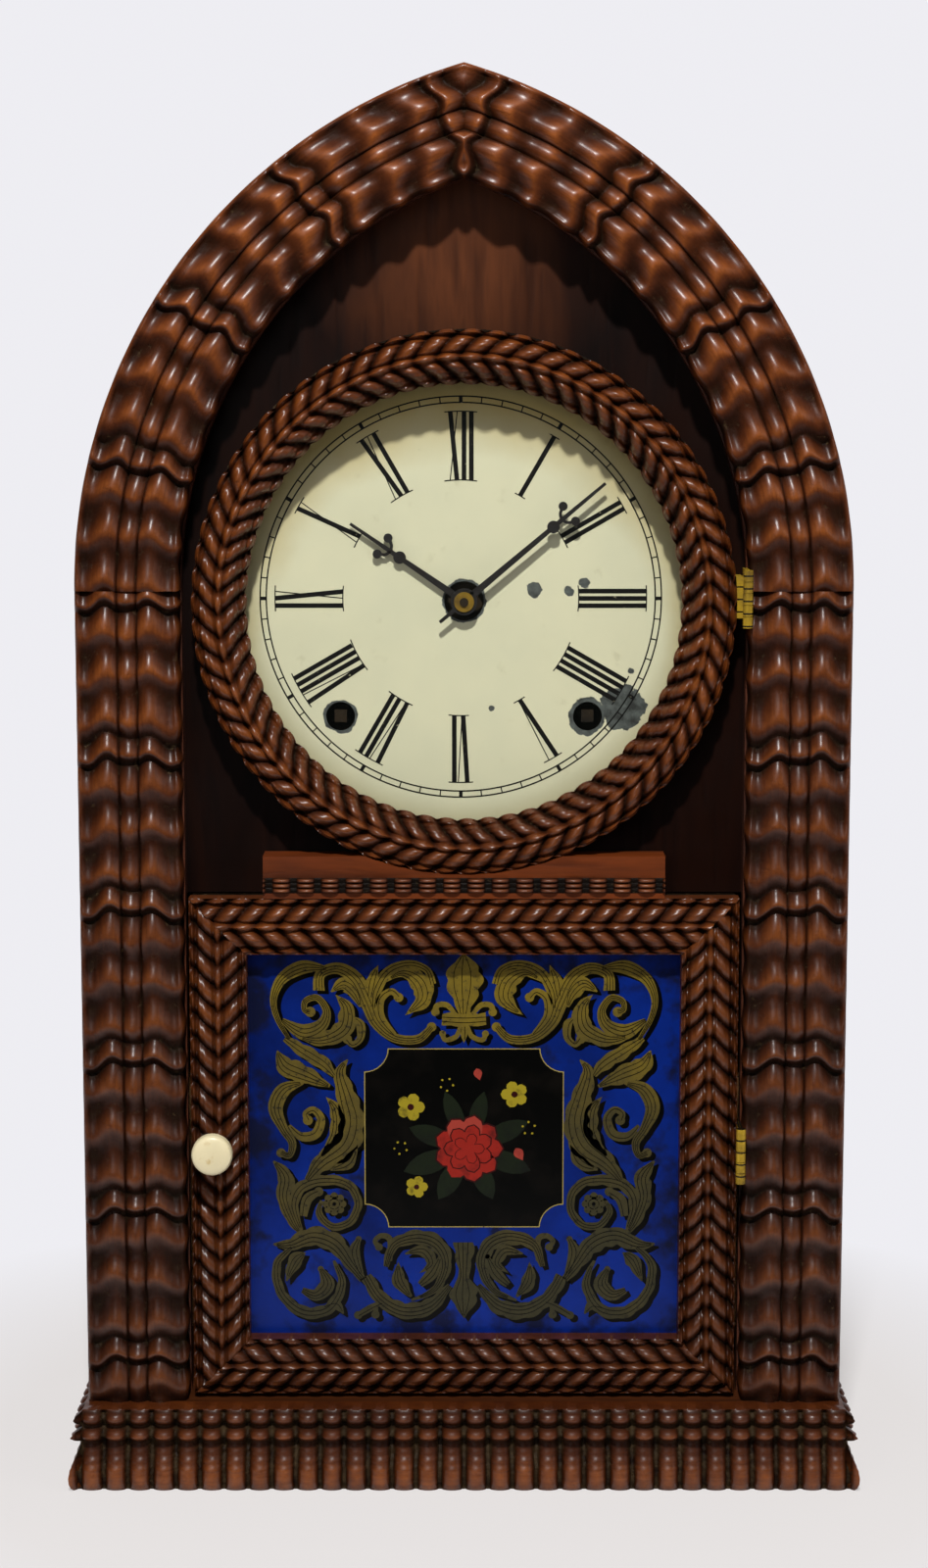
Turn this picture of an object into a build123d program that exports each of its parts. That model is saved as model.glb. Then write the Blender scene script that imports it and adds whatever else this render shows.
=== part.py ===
from build123d import *
import math
import os

# Overall: origin under the middle of the base, front towards -Y, +Z up
overall_height = 483.0
base_width = 273.0
base_depth = 102.0
base_height = 28.0
base_overhang = 6.0
moulding_width = 34.75
arch_rise = 173.0
cut_overrun = 5.0
running_gap = 0.05

# Boards of the case, counted back from the front of the base
moulding_setback = 9.4
moulding_depth = 14.6
frame_board = 6.0
side_board = 8.0
back_board = 6.0
board_inset = 3.0
panel_board = 5.0

# Rippled pillar and arch moulding
long_wave = 14.7
short_wave = 8.3
long_waves = 3
wave_depth = 1.7
notch_depth = 2.3
band_share = 0.39
band_rise = 1.5
band_lean = 0.9
bead_rise = 0.9
edge_drop = 2.2
bead_shares = (0.41, 0.45, 0.5, 0.55, 0.59)
band_row_shares = (0.07, 0.16, 0.27, 0.38, 0.5, 0.62, 0.73, 0.84, 0.95)
points_per_wave = 7
pillar_phase = 6.3
arch_phase = 12.6
band_phase_share = 0.47

# Base mouldings
base_skin = 13.0
flute_pitch = 8.3
flute_depth = 1.0
base_profile_shares = (
    (0.0, 0.12), (0.05, 0.06), (0.12, 0.0), (0.3, 0.02), (0.45, 0.1), (0.58, 0.2), (0.66, 0.24),
    (0.69, 0.12), (0.75, 0.03), (0.81, 0.12), (0.84, 0.16), (0.87, 0.14), (0.93, 0.08), (1.0, 0.2))

# Door
door_gap = 1.75
door_floor_gap = 1.5
door_top_drop = 8.2
door_member = 19.5
door_back_gap = 1.0
door_thickness = 15.0
rabbet_width = 3.5
rabbet_depth = 5.0
glass_thickness = 2.0
glass_fit = 0.4
door_ripple_pitch = 8.0
door_ripple_depth = 1.5
chevron_lean = 0.9
door_section_shares = (
    (0.0, 0.42), (0.06, 0.24), (0.11, 0.36), (0.18, 0.14), (0.28, 0.06), (0.37, 0.08), (0.42, 0.16),
    (0.46, 0.02), (0.5, 0.0), (0.54, 0.02), (0.58, 0.16), (0.64, 0.1), (0.72, 0.08), (0.82, 0.18),
    (0.89, 0.38), (0.94, 0.28), (1.0, 0.45))
moulding_crown = 7.0
strip_width = 3.2
strip_thickness = 2.8

# Round bezel and the bridge block under it
dial_drop = 5.0
bezel_margin = 2.0
bezel_width = 18.5
bezel_ripples = 67
bridge_inset = 25.5
bridge_height = 14.6
bridge_setback = 2.5
bridge_top_setback = 1.0
reed_height = 4.4
reed_lift = 2.2
reed_proud = 1.6
reed_pitch = 8.2
reed_depth = 0.7
reed_row_shares = (
    (0.02, 0.3), (0.17, 1.0), (0.33, 0.45), (0.5, 1.0), (0.67, 0.45), (0.83, 1.0), (0.98, 0.3))

# Hinges
hinge_knuckle_radius = 1.65
hinge_pin_radius = 0.8
hinge_length = 19.5
hinge_leaf = 0.6
hinge_leaf_reach = 12.0
hinge_leaf_gap = 0.25
hinge_proud = 4.1
hinge_knuckles = 5
knuckle_gap = 0.1
upper_hinge_rise = 2.5
lower_hinge_share = 0.496
hinge_pad_height = 14.0

# Door knob with its turn latch
knob_radius = 7.0
knob_neck_radius = 3.6
knob_neck = 2.0
knob_depth = 10.0
knob_profile_shares = (
    (0.0, 0.69), (0.12, 0.86), (0.25, 0.97), (0.38, 1.0), (0.5, 0.95), (0.62, 0.83), (0.75, 0.64),
    (0.88, 0.39), (1.0, 0.12))
knob_inset = 7.8
knob_height_share = 0.502
spindle_radius = 1.8
latch_thickness = 2.0
latch_reach = 17.0
latch_width = 6.0
latch_slot_clear = 0.6

# Dial and hands
dial_sheet = 0.8
aperture_margin = 2.5
dial_margin = 7.5
dial_hole_radius = 6.8
winding_hole_radius = 5.0
tack_radius = 1.6
tack_height = 1.0
tack_margin = 2.4
hand_sheet = 0.8
hour_hand_lift = 1.6
minute_hand_lift = 4.0
hour_hand_length = 47.0
minute_hand_length = 62.7
minute_tail = 13.0
hand_boss_radius = 4.6
hand_bar_width = 2.4
hand_tip_share = 0.3
hand_ring_radius = 2.2
hand_ring_bar = 1.6
hand_knob_radius = 1.7
hour_ring_share = 0.566
minute_ring_share = 0.633
hand_knob_lift = 7.0
hand_knob_spread = 3.4
hour_hand_angle = 304.3
minute_hand_angle = 50.0
washer_radius = 3.4
washer_thickness = 0.5

# Movement plates
plate_front = 0.0
plate_thickness = 1.6
plate_space = 32.4
plate_low_half = 80.0
plate_high_half = 66.0
plate_drop = 62.0
plate_rise = 64.0
pillar_radius = 3.2
pillar_rivet_radius = 2.0
pillar_margin = 6.0
block_size = 15.0
screw_radius = 1.6
screw_head_radius = 3.0
screw_head_height = 1.6
screw_bite = 5.0

# Wheels: tooth counts and modules of both trains
winding_reach = 42.5
winding_drop = 39.7
great_teeth = 80
second_leaves = 12
great_module = 0.75
second_teeth = 72
centre_leaves = 12
second_module = 0.6
centre_teeth = 84
third_leaves = 10
centre_module = 0.5
third_teeth = 80
escape_leaves = 10
third_module = 0.4
escape_teeth = 50
escape_radius = 14.5
escape_root_share = 0.9
escape_rim_share = 0.95
escape_back_shares = (0.25, 0.8)
escape_rise = 31.0
pin_teeth = 60
fly_leaves = 10
pin_module = 0.5
cannon_leaves = 12
minute_teeth = 36
cannon_module = 0.6
minute_leaves = 10
hour_teeth = 40
strike_second_angle = 106.0
strike_pin_angle = 70.0
strike_fly_angle = 80.0
wheel_sheet = 1.4
great_sheet = 2.2
pinion_length = 4.5
arbor_radius = 1.5
great_arbor_radius = 3.0
pivot_radius = 0.8
end_shake = 0.4
winding_square = 4.2
winding_square_length = 9.0
wheel_rim_share = 0.84
wheel_hub_share = 0.26
wheel_spoke_share = 0.16
tooth_share = 0.2
tooth_root_share = 1.25
tooth_tip_share = 0.45
leaf_share = 0.17
leaf_tip_share = 0.5
addendum_share = 0.8
dedendum_share = 1.25

# Depth of each wheel behind the front plate's back
second_wheel_depth = 2.4
escape_wheel_depth = 4.8
third_wheel_depth = 10.4
pin_wheel_depth = 14.4
centre_wheel_depth = 18.4
great_wheel_depth = 26.8
spring_depth = 7.0
spring_width = 18.0
spring_radius = 27.0
spring_core_gap = 0.3
lift_pin_radius = 0.6
lift_pin_length = 3.0
lift_pins = 8
fly_half = 9.0
fly_sheet = 0.6
fly_depth = 19.5
fly_width = 10.0

# Motion work ahead of the front plate
cannon_lead = 6.0
minute_wheel_lead = 7.6
hour_wheel_lead = 11.2
stud_radius = 1.0
hour_pipe_wall = 1.4
cannon_length = 3.4

# Verge and pendulum
verge_rise = 50.0
pallet_clear = 1.3
verge_sheet = 2.4
verge_bar = 3.0
pallet_angle = 45.0
pallet_length = 4.0
crutch_radius = 0.7
crutch_lead = 1.6
crutch_drop = 28.0
fork_gap = 0.5
fork_lead = 5.6
rod_radius = 0.9
rod_lead = 4.0
rod_loop_radius = 7.9
spring_strip = 0.3
spring_strip_width = 3.0
spring_strip_length = 12.0
spring_strip_lap = 4.0
cock_height = 9.0
cock_width = 8.0
cock_lead = 6.6
cock_slot = 1.2
bob_height_share = 0.296
bob_radius = 23.0
bob_thickness = 12.0
bob_edge = 2.0
nut_radius = 4.0
nut_height = 3.5
rod_tail = 9.0

# Hammer and gong
hammer_x = -22.0
hammer_drop = 14.0
hammer_arbor_radius = 1.6
hammer_arbor_end = 1.8
hammer_rod_radius = 0.9
hammer_back_lead = 3.0
hammer_head_radius = 4.0
hammer_head_length = 10.0
hammer_tail = 22.6
hammer_tail_width = 2.4
gong_x = 14.0
gong_height_share = 0.35
gong_wire_radius = 1.1
gong_inner_radius = 12.0
gong_step = 4.2
gong_turns = 4
gong_block_size = 16.0
gong_block_height = 10.0
gong_lead = 10.0

# Places that follow from the sizes above
case_half = base_width / 2 - base_overhang
opening_half = case_half - moulding_width
spring_height = overall_height - arch_rise
dial_height = spring_height - dial_drop
arch_offset = (arch_rise ** 2 - case_half ** 2) / (2 * case_half)
arch_radius = case_half + arch_offset
base_front = -base_depth / 2
moulding_front = base_front + moulding_setback
moulding_back = moulding_front + moulding_depth
frame_back = moulding_back + frame_board
back_front = base_depth / 2 - back_board
panel_back = frame_back + panel_board
door_back = frame_back - door_back_gap
door_front = door_back - door_thickness
door_half = opening_half - door_gap
door_floor = base_height + door_floor_gap
bezel_radius = door_half - bezel_margin
bezel_sight_radius = bezel_radius - bezel_width
panel_aperture_radius = bezel_sight_radius + aperture_margin
dial_radius = bezel_sight_radius + dial_margin
tack_circle_radius = dial_radius - tack_margin
door_top = dial_height - bezel_radius - door_top_drop
door_height = door_top - door_floor
bridge_width = 2 * (door_half - bridge_inset)
knob_height = door_floor + door_height * knob_height_share
upper_hinge_height = dial_height + upper_hinge_rise
lower_hinge_height = door_floor + door_height * lower_hinge_share
bob_height = base_height + (dial_height - base_height) * bob_height_share
gong_height = base_height + (dial_height - base_height) * gong_height_share
hammer_length = dial_height - hammer_drop - gong_height
glass_front = door_back - rabbet_depth
dial_front = panel_back
dial_back = dial_front + dial_sheet
hinge_x = (door_half + opening_half) / 2
hinge_y = door_front - hinge_proud
plates_inside = plate_front + plate_thickness
plates_end = plates_inside + plate_space
plate_back = plates_end + plate_thickness
centre = (0.0, dial_height)
hour_module = cannon_module * (cannon_leaves + minute_teeth) / (minute_leaves + hour_teeth)


def mesh_reach(teeth, leaves, module):
    return module * (teeth + leaves) / 2


def polar(origin, reach, degrees):
    turn = math.radians(degrees)
    return (origin[0] + reach * math.cos(turn), origin[1] + reach * math.sin(turn))


def bearing(start, end):
    return math.degrees(math.atan2(end[1] - start[1], end[0] - start[0]))


def meeting(start, start_reach, end, end_reach, side):
    # Where an arbor stands that meshes with two others
    span = math.dist(start, end)
    along = (start_reach ** 2 - end_reach ** 2 + span ** 2) / (2 * span)
    swing = math.degrees(math.acos(along / start_reach))
    return polar(start, start_reach, bearing(start, end) + side * swing)


time_great = (winding_reach, dial_height - winding_drop)
strike_great = (-winding_reach, dial_height - winding_drop)
escape = (0.0, dial_height + escape_rise)
verge_axis = (0.0, dial_height + verge_rise)
time_second = meeting(centre, mesh_reach(second_teeth, centre_leaves, second_module),
                      time_great, mesh_reach(great_teeth, second_leaves, great_module), 1)
time_third = meeting(centre, mesh_reach(centre_teeth, third_leaves, centre_module),
                     escape, mesh_reach(third_teeth, escape_leaves, third_module), -1)
strike_second = polar(strike_great, mesh_reach(great_teeth, second_leaves, great_module),
                      strike_second_angle)
strike_pin = polar(strike_second, mesh_reach(second_teeth, centre_leaves, second_module),
                   strike_pin_angle)
strike_fly = polar(strike_pin, mesh_reach(pin_teeth, fly_leaves, pin_module), strike_fly_angle)
minute_stud = (mesh_reach(minute_teeth, cannon_leaves, cannon_module), dial_height)
hammer_axis = (hammer_x, dial_height - hammer_drop)


def slab(x0, x1, y0, y1, z0, z1):
    return Solid.make_box(x1 - x0, y1 - y0, z1 - z0, Plane((x0, y0, z0)))


def rod_y(place, y0, y1, radius):
    return Solid.make_cylinder(radius, y1 - y0, Plane((place[0], y0, place[1]), z_dir=(0, 1, 0)))


def rod_z(x, y, z0, z1, radius):
    return Solid.make_cylinder(radius, z1 - z0, Plane((x, y, z0)))


def prism(points, y0, y1):
    outline = Wire.make_polygon([(x, y0, z) for x, z in points], close=True)
    return Solid.extrude(Face(outline), Vector(0, y1 - y0, 0))


def turned(shape, place, degrees):
    axis = Axis((place[0], 0, place[1]), (0, 1, 0))
    return shape.rotate(axis, degrees)


def save(name, *shapes):
    solids = [solid for shape in shapes for solid in shape.solids()]
    whole = solids[0] if len(solids) == 1 else Compound(solids)
    export_step(whole, os.path.join("parts", name + ".step"))


# Rippled stock: rows of points run the length, and ruled faces join each row to the next
def ripple_solid(rows, closed=False):
    faces = []
    for row, following in zip(rows, rows[1:] + rows[:1]):
        for edge, beside in zip(row, following):
            faces.append(Face.make_surface_from_curves(edge, beside))
    if not closed:
        for end in (0, 1):
            corners = [row[0].position_at(end) for row in rows]
            faces.append(Face(Wire.make_polygon(corners, close=True)))
    return Solid(Shell(faces))


def long_row(points, flat):
    if flat == "line":
        return [Edge.make_line(points[0], points[-1])]
    if flat == "arc":
        return [Edge.make_three_point_arc(points[0], points[len(points) // 2], points[-1])]
    return [Edge.make_spline(points)]


def wave(run):
    period = short_wave + long_waves * long_wave
    run = run % period
    if run < short_wave:
        return -notch_depth * (1 - math.sin(math.pi * run / short_wave))
    place = (run - short_wave) / long_wave
    whole = int(place)
    part = place - whole
    soft = -wave_depth * (1 + math.cos(2 * math.pi * part)) / 2
    sharp = -notch_depth * (1 - math.sin(math.pi * part))
    beside_notch = (whole == 0 and part < 0.5) or (whole == long_waves - 1 and part >= 0.5)
    return sharp if beside_notch else soft


def pillar_profile(share):
    # Height over the mean face and how far the wave leans along the length
    if share < band_share or share > 1 - band_share:
        part = min(share, 1 - share) / band_share
        height = band_rise * math.sin(2 * math.pi * (part - band_phase_share))
        return height, band_lean * height
    part = (share - band_share) / (1 - 2 * band_share)
    return bead_rise * (2 * math.sin(math.pi * part) - 1), 0.0


def pillar_rows():
    shares = [band_share * share for share in band_row_shares]
    return shares + list(bead_shares) + [1 - share for share in reversed(shares)]


def pillar_height(share, run):
    height, lean = pillar_profile(share)
    return height + wave(run - lean)


def pillar_moulding(side):
    length = spring_height - base_height
    count = int(length / (short_wave + long_waves * long_wave) * (1 + long_waves) * points_per_wave)
    mean = moulding_front + band_rise
    runs = [length * step / count for step in range(count + 1)]

    def row(share, y_of, flat):
        x = side * (opening_half + moulding_width * share)
        return long_row([(x, y_of(run), base_height + run) for run in runs], flat)

    start = pillar_phase - length
    rows = [row(0, lambda run: moulding_back, "line")]
    rows.append(row(0, lambda run: mean + edge_drop - wave(run + start), "spline"))
    for share in pillar_rows():
        rows.append(row(share, lambda run: mean - pillar_height(share, run + start), "spline"))
    rows.append(row(1, lambda run: mean + edge_drop - wave(run + start), "spline"))
    rows.append(row(1, lambda run: moulding_back, "line"))
    return ripple_solid(rows)


def arch_moulding(side):
    mid_radius = arch_radius - moulding_width / 2
    mean = moulding_front + band_rise

    def row(share, y_of, flat):
        radius = arch_radius - moulding_width * (1 - share)
        sweep = math.acos(arch_offset / radius)
        periods = mid_radius * sweep / (short_wave + long_waves * long_wave)
        count = int(periods * (1 + long_waves) * points_per_wave)
        points = []
        for step in range(count + 1):
            turn = sweep * step / count
            x = side * (radius * math.cos(turn) - arch_offset)
            points.append((x, y_of(mid_radius * turn), spring_height + radius * math.sin(turn)))
        return long_row(points, flat)

    rows = [row(0, lambda run: moulding_back, "arc")]
    rows.append(row(0, lambda run: mean + edge_drop - wave(run + arch_phase), "spline"))
    for share in pillar_rows():
        rows.append(row(share, lambda run: mean - pillar_height(share, run + arch_phase), "spline"))
    rows.append(row(1, lambda run: mean + edge_drop - wave(run + arch_phase), "spline"))
    rows.append(row(1, lambda run: moulding_back, "arc"))
    return ripple_solid(rows)


def flute(run, pitch, depth):
    return -depth * (1 + math.cos(2 * math.pi * run / pitch)) / 2


def base_moulding(half_length, place, square_end):
    # Base stock along a wall: place turns (along, outward, up) into a point
    rows = []
    count = int(2 * half_length / flute_pitch) * points_per_wave

    def row(up, inset, depth, flat):
        near = -half_length + inset
        far = half_length if square_end else half_length - inset
        runs = [near + (far - near) * step / count for step in range(count + 1)]
        points = [place(run, inset - flute(run, flute_pitch, depth), up) for run in runs]
        points[0] = place(near, inset, up)
        points[-1] = place(far, inset, up)
        return long_row(points, flat)

    rows.append(row(0, base_skin, 0, "line"))
    rows.append(row(0, base_skin * base_profile_shares[0][1], 0, "line"))
    for up_share, inset_share in base_profile_shares[1:-1]:
        rows.append(row(base_height * up_share, base_skin * inset_share, flute_depth, "spline"))
    rows.append(row(base_height, base_skin * base_profile_shares[-1][1], 0, "line"))
    rows.append(row(base_height, base_skin, 0, "line"))
    return ripple_solid(rows)


def base_front_moulding():
    return base_moulding(base_width / 2, lambda run, inset, up: (run, base_front + inset, up), False)


def base_side_moulding(side):
    def place(run, inset, up):
        return (side * (base_width / 2 - inset), run, up)
    return base_moulding(base_depth / 2, place, True)


def door_section():
    # Rows across a door member from its outer edge: place, setback of the face, lean of the ripple
    rows = []
    for share, drop_share in door_section_shares:
        across = door_member * share
        rows.append((across, moulding_crown * drop_share, chevron_lean * abs(across - door_member / 2)))
    return rows


def door_member_solid(length, place, flow):
    # A straight member with mitred ends; place turns (along, across, y) into a point
    count = int(length / door_ripple_pitch) * points_per_wave

    def row(across, y_of, flat):
        near = across
        far = length - across
        runs = [near + (far - near) * step / count for step in range(count + 1)]
        return long_row([place(run, across, y_of(run)) for run in runs], flat)

    rows = [row(0, lambda run: door_back, "line")]
    for across, setback, lean in door_section():
        edge = across in (0, door_member)
        depth = 0 if edge else door_ripple_depth
        flat = "line" if edge else "spline"
        rows.append(row(across, lambda run: door_front + setback
                        - flute(run - length / 2 + flow * lean, door_ripple_pitch, depth), flat))
    rows.append(row(door_member, lambda run: glass_front, "line"))
    rows.append(row(door_member - rabbet_width, lambda run: glass_front, "line"))
    rows.append(row(door_member - rabbet_width, lambda run: door_back, "line"))
    return ripple_solid(rows)


def door_left_stile():
    def place(run, across, y):
        return (-door_half + across, y, door_floor + run)
    bore = rod_y(knob_place(), door_front - cut_overrun, door_back + cut_overrun,
                 spindle_radius + running_gap)
    return door_member_solid(door_height, place, -1) - bore


def door_right_stile():
    def place(run, across, y):
        return (door_half - across, y, door_floor + run)
    return door_member_solid(door_height, place, 1)


def door_top_rail():
    def place(run, across, y):
        return (-door_half + run, y, door_top - across)
    return door_member_solid(2 * door_half, place, -1)


def door_bottom_rail():
    def place(run, across, y):
        return (-door_half + run, y, door_floor + across)
    return door_member_solid(2 * door_half, place, 1)


def bezel_ring():
    width = bezel_radius - bezel_sight_radius
    count = bezel_ripples * points_per_wave

    def row(across, y_of, flat):
        radius = bezel_radius - across
        halves = []
        for half in (0, 1):
            points = []
            for step in range(count // 2 + 1):
                turn = math.pi * (half + step / (count // 2))
                points.append((radius * math.cos(turn), y_of(turn), dial_height + radius * math.sin(turn)))
            halves.extend(long_row(points, flat))
        return halves

    pitch = 2 * math.pi / bezel_ripples
    rows = [row(0, lambda turn: door_back, "arc")]
    for across, setback, lean in door_section():
        edge = across in (0, door_member)
        depth = 0 if edge else door_ripple_depth
        shift = lean / (bezel_radius - width / 2)
        rows.append(row(across * width / door_member, lambda turn: door_front + setback
                        - flute(turn + shift, pitch, depth), "arc" if edge else "spline"))
    rows.append(row(width, lambda turn: glass_front, "arc"))
    rows.append(row(width - rabbet_width, lambda turn: glass_front, "arc"))
    rows.append(row(width - rabbet_width, lambda turn: door_back, "arc"))
    return ripple_solid(rows, closed=True)


# Boards that follow the pointed arch
def arch_wire(inset, floor, y):
    half = case_half - inset
    radius = arch_radius - inset
    apex = spring_height + math.sqrt(radius ** 2 - arch_offset ** 2)
    middle = math.acos(arch_offset / radius) / 2
    bow_x = radius * math.cos(middle) - arch_offset
    bow_z = spring_height + radius * math.sin(middle)
    return Wire([
        Edge.make_line((-half, y, floor), (half, y, floor)),
        Edge.make_line((half, y, floor), (half, y, spring_height)),
        Edge.make_three_point_arc((half, y, spring_height), (bow_x, y, bow_z), (0, y, apex)),
        Edge.make_three_point_arc((0, y, apex), (-bow_x, y, bow_z), (-half, y, spring_height)),
        Edge.make_line((-half, y, spring_height), (-half, y, floor))])


def arch_board(inset, floor, y0, y1):
    return Solid.extrude(Face(arch_wire(inset, floor, y0)), Vector(0, y1 - y0, 0))


def front_frame():
    board = arch_board(board_inset, base_height, moulding_back, frame_back)
    reach = cut_overrun
    opening = arch_board(moulding_width, base_height - reach, moulding_back - reach, frame_back + reach)
    board = board - opening
    x, z = knob_place()
    swing = latch_reach + latch_width + latch_slot_clear
    slot = slab(x - swing, x, door_back - latch_slot_clear, frame_back + reach,
                z - latch_width, z + latch_reach)
    return board - slot


def case_side(side):
    wall = arch_board(board_inset, base_height, frame_back, back_front)
    room = arch_board(board_inset + side_board, base_height - cut_overrun,
                      frame_back - cut_overrun, back_front + cut_overrun)
    half = slab(min(0, side * case_half), max(0, side * case_half), frame_back, back_front,
                base_height, overall_height)
    return (wall - room) & half


def backboard():
    return arch_board(board_inset, base_height, back_front, base_depth / 2)


def base_board():
    return slab(-base_width / 2 + base_skin, base_width / 2 - base_skin,
                base_front + base_skin, base_depth / 2, 0, base_height)


def spandrel_panel():
    board = arch_board(moulding_width - board_inset, door_top, frame_back, panel_back)
    hole = rod_y(centre, frame_back - cut_overrun, panel_back + cut_overrun, panel_aperture_radius)
    return board - hole


def dial():
    plate = rod_y(centre, dial_front, dial_back, dial_radius)
    plate = plate - rod_y(centre, dial_front - cut_overrun, dial_back + cut_overrun, dial_hole_radius)
    for place in (time_great, strike_great):
        plate = plate - rod_y(place, dial_front - cut_overrun, dial_back + cut_overrun, winding_hole_radius)
    return plate


def dial_tacks():
    return [rod_y(polar(centre, tack_circle_radius, turn), dial_back, dial_back + tack_height, tack_radius)
            for turn in (45, 135, 225, 315)]


# Bridge between the bezel and the lower frame
def bridge_block():
    block = slab(-bridge_width / 2, bridge_width / 2, door_front + bridge_setback,
                 door_back - bridge_top_setback, door_top, door_top + bridge_height)
    return block - rod_y(centre, door_front - cut_overrun, door_back + cut_overrun, bezel_radius)


def bridge_reeds():
    face = door_front + bridge_setback
    count = int(bridge_width / reed_pitch) * points_per_wave
    runs = [-bridge_width / 2 + bridge_width * step / count for step in range(count + 1)]
    low = door_top + reed_lift

    def row(up_share, proud, depth, flat):
        z = low + reed_height * up_share
        points = [(run, face - proud - depth - flute(run, reed_pitch, depth), z) for run in runs]
        return long_row(points, flat)

    rows = [row(0, 0, 0, "line")]
    for up_share, rise_share in reed_row_shares:
        rows.append(row(up_share, (reed_proud - reed_depth) * rise_share, reed_depth, "spline"))
    rows.append(row(1, 0, 0, "line"))
    reeds = ripple_solid(rows)
    return reeds - rod_y(centre, door_front - cut_overrun, door_back + cut_overrun, bezel_radius)


def bezel_glass():
    radius = bezel_sight_radius + rabbet_width - glass_fit
    return rod_y(centre, glass_front, glass_front + glass_thickness, radius)


def tablet_glass():
    half = door_half - door_member + rabbet_width - glass_fit
    low = door_floor + door_member - rabbet_width + glass_fit
    high = door_top - door_member + rabbet_width - glass_fit
    return slab(-half, half, glass_front, glass_front + glass_thickness, low, high)


def tablet_strips():
    half = door_half - door_member + rabbet_width
    low = door_floor + door_member - rabbet_width
    high = door_top - door_member + rabbet_width
    front = glass_front + glass_thickness
    back = front + strip_thickness
    upright = [slab(x, x + strip_width, front, back, low, high) for x in (-half, half - strip_width)]
    across = [slab(strip_width - half, half - strip_width, front, back, z, z + strip_width)
              for z in (low, high - strip_width)]
    return upright + across


# Hinges: the outer and middle knuckles on the case, the two between on the door
def hinge_heights():
    return (upper_hinge_height, lower_hinge_height)


def knuckle(height, index, inner):
    pitch = hinge_length / hinge_knuckles
    low = height - hinge_length / 2 + pitch * index
    outer = rod_z(hinge_x, hinge_y, low + knuckle_gap, low + pitch - knuckle_gap, hinge_knuckle_radius)
    return outer - rod_z(hinge_x, hinge_y, low - cut_overrun, low + pitch + cut_overrun, inner)


def hinge_leaf_solid(height, x0, x1, indexes, inner):
    pitch = hinge_length / hinge_knuckles
    low = height - hinge_length / 2
    bore = rod_z(hinge_x, hinge_y, low - cut_overrun, low + hinge_length + cut_overrun,
                 hinge_knuckle_radius + running_gap)
    leaf = slab(x0, x1, hinge_y + hinge_knuckle_radius + 2 * knuckle_gap, hinge_y + hinge_leaf_reach,
                low, low + hinge_length)
    for index in indexes:
        leaf = leaf + knuckle(height, index, inner)
        tongue = slab(x0, x1, hinge_y, hinge_y + hinge_leaf_reach,
                      low + pitch * index + knuckle_gap, low + pitch * (index + 1) - knuckle_gap)
        leaf = leaf + (tongue - bore) + (tongue & bore - rod_z(
            hinge_x, hinge_y, low - cut_overrun, low + hinge_length + cut_overrun, inner))
    return leaf


def hinge_case_leaves():
    wall = opening_half - hinge_leaf_gap
    return [hinge_leaf_solid(height, wall - hinge_leaf, wall, (0, 2, 4), hinge_pin_radius)
            for height in hinge_heights()]


def hinge_pins():
    return [rod_z(hinge_x, hinge_y, height - hinge_length / 2, height + hinge_length / 2, hinge_pin_radius)
            for height in hinge_heights()]


def hinge_door_leaves():
    leaves = [hinge_leaf_solid(height, door_half, door_half + hinge_leaf, (1, 3),
                               hinge_pin_radius + running_gap) for height in hinge_heights()]
    reach = bezel_radius - door_member / 2
    pad = slab(reach, door_half, door_front + moulding_crown / 2, door_back,
               upper_hinge_height - hinge_pad_height / 2, upper_hinge_height + hinge_pad_height / 2)
    pad = pad - rod_y(centre, door_front - cut_overrun, door_back + cut_overrun, bezel_radius)
    return [leaves[0] + pad, leaves[1]]


# Knob and latch
def knob_place():
    return (-door_half + knob_inset, knob_height)


def door_knob():
    x, z = knob_place()
    seat = door_front - running_gap
    profile = [(0, 0), (knob_neck_radius, 0), (knob_neck_radius, knob_neck)]
    bulge = knob_depth - knob_neck
    for out_share, radius_share in knob_profile_shares:
        profile.append((knob_radius * radius_share, knob_neck + bulge * out_share))
    profile.append((0, knob_depth))
    points = [(x + radius, seat - out, z) for radius, out in profile]
    outline = Face(Wire.make_polygon(points, close=True))
    body = Solid.revolve(outline, 360, Axis((x, 0, z), (0, 1, 0)))
    return body - rod_y((x, z), seat - knob_neck - spindle_radius, seat + cut_overrun, spindle_radius)


def latch_tongue():
    x, z = knob_place()
    spindle_front = door_front - knob_neck - spindle_radius
    spindle = rod_y((x, z), spindle_front, door_back + latch_thickness, spindle_radius)
    tongue = slab(x - latch_width / 2, x + latch_width / 2, door_back, door_back + latch_thickness,
                  z - latch_width / 2, z + latch_reach)
    return spindle + tongue


# Hands
def hand_outline(length, tail, ring_share, y0, y1, bore):
    base = dial_height
    tip = hand_bar_width * hand_tip_share
    bar = prism([(-hand_bar_width / 2, base - tail), (hand_bar_width / 2, base - tail),
                 (tip, base + length), (-tip, base + length)], y0, y1)
    ring_centre = (0, base + length * ring_share)
    ring = rod_y(ring_centre, y0, y1, hand_ring_radius)
    hole = rod_y(ring_centre, y0 - cut_overrun, y1 + cut_overrun, hand_ring_radius - hand_ring_bar)
    boss = rod_y(centre, y0, y1, hand_boss_radius)
    hand = bar - hole + (ring - hole) + boss
    knob_z = ring_centre[1] + hand_knob_lift
    cross = slab(-hand_knob_spread, hand_knob_spread, y0, y1,
                 knob_z - hand_ring_bar / 2, knob_z + hand_ring_bar / 2)
    hand = hand + cross
    for side in (-1, 1):
        hand = hand + rod_y((side * hand_knob_spread, knob_z), y0, y1, hand_knob_radius)
    return hand - rod_y(centre, y0 - cut_overrun, y1 + cut_overrun, bore)


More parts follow.
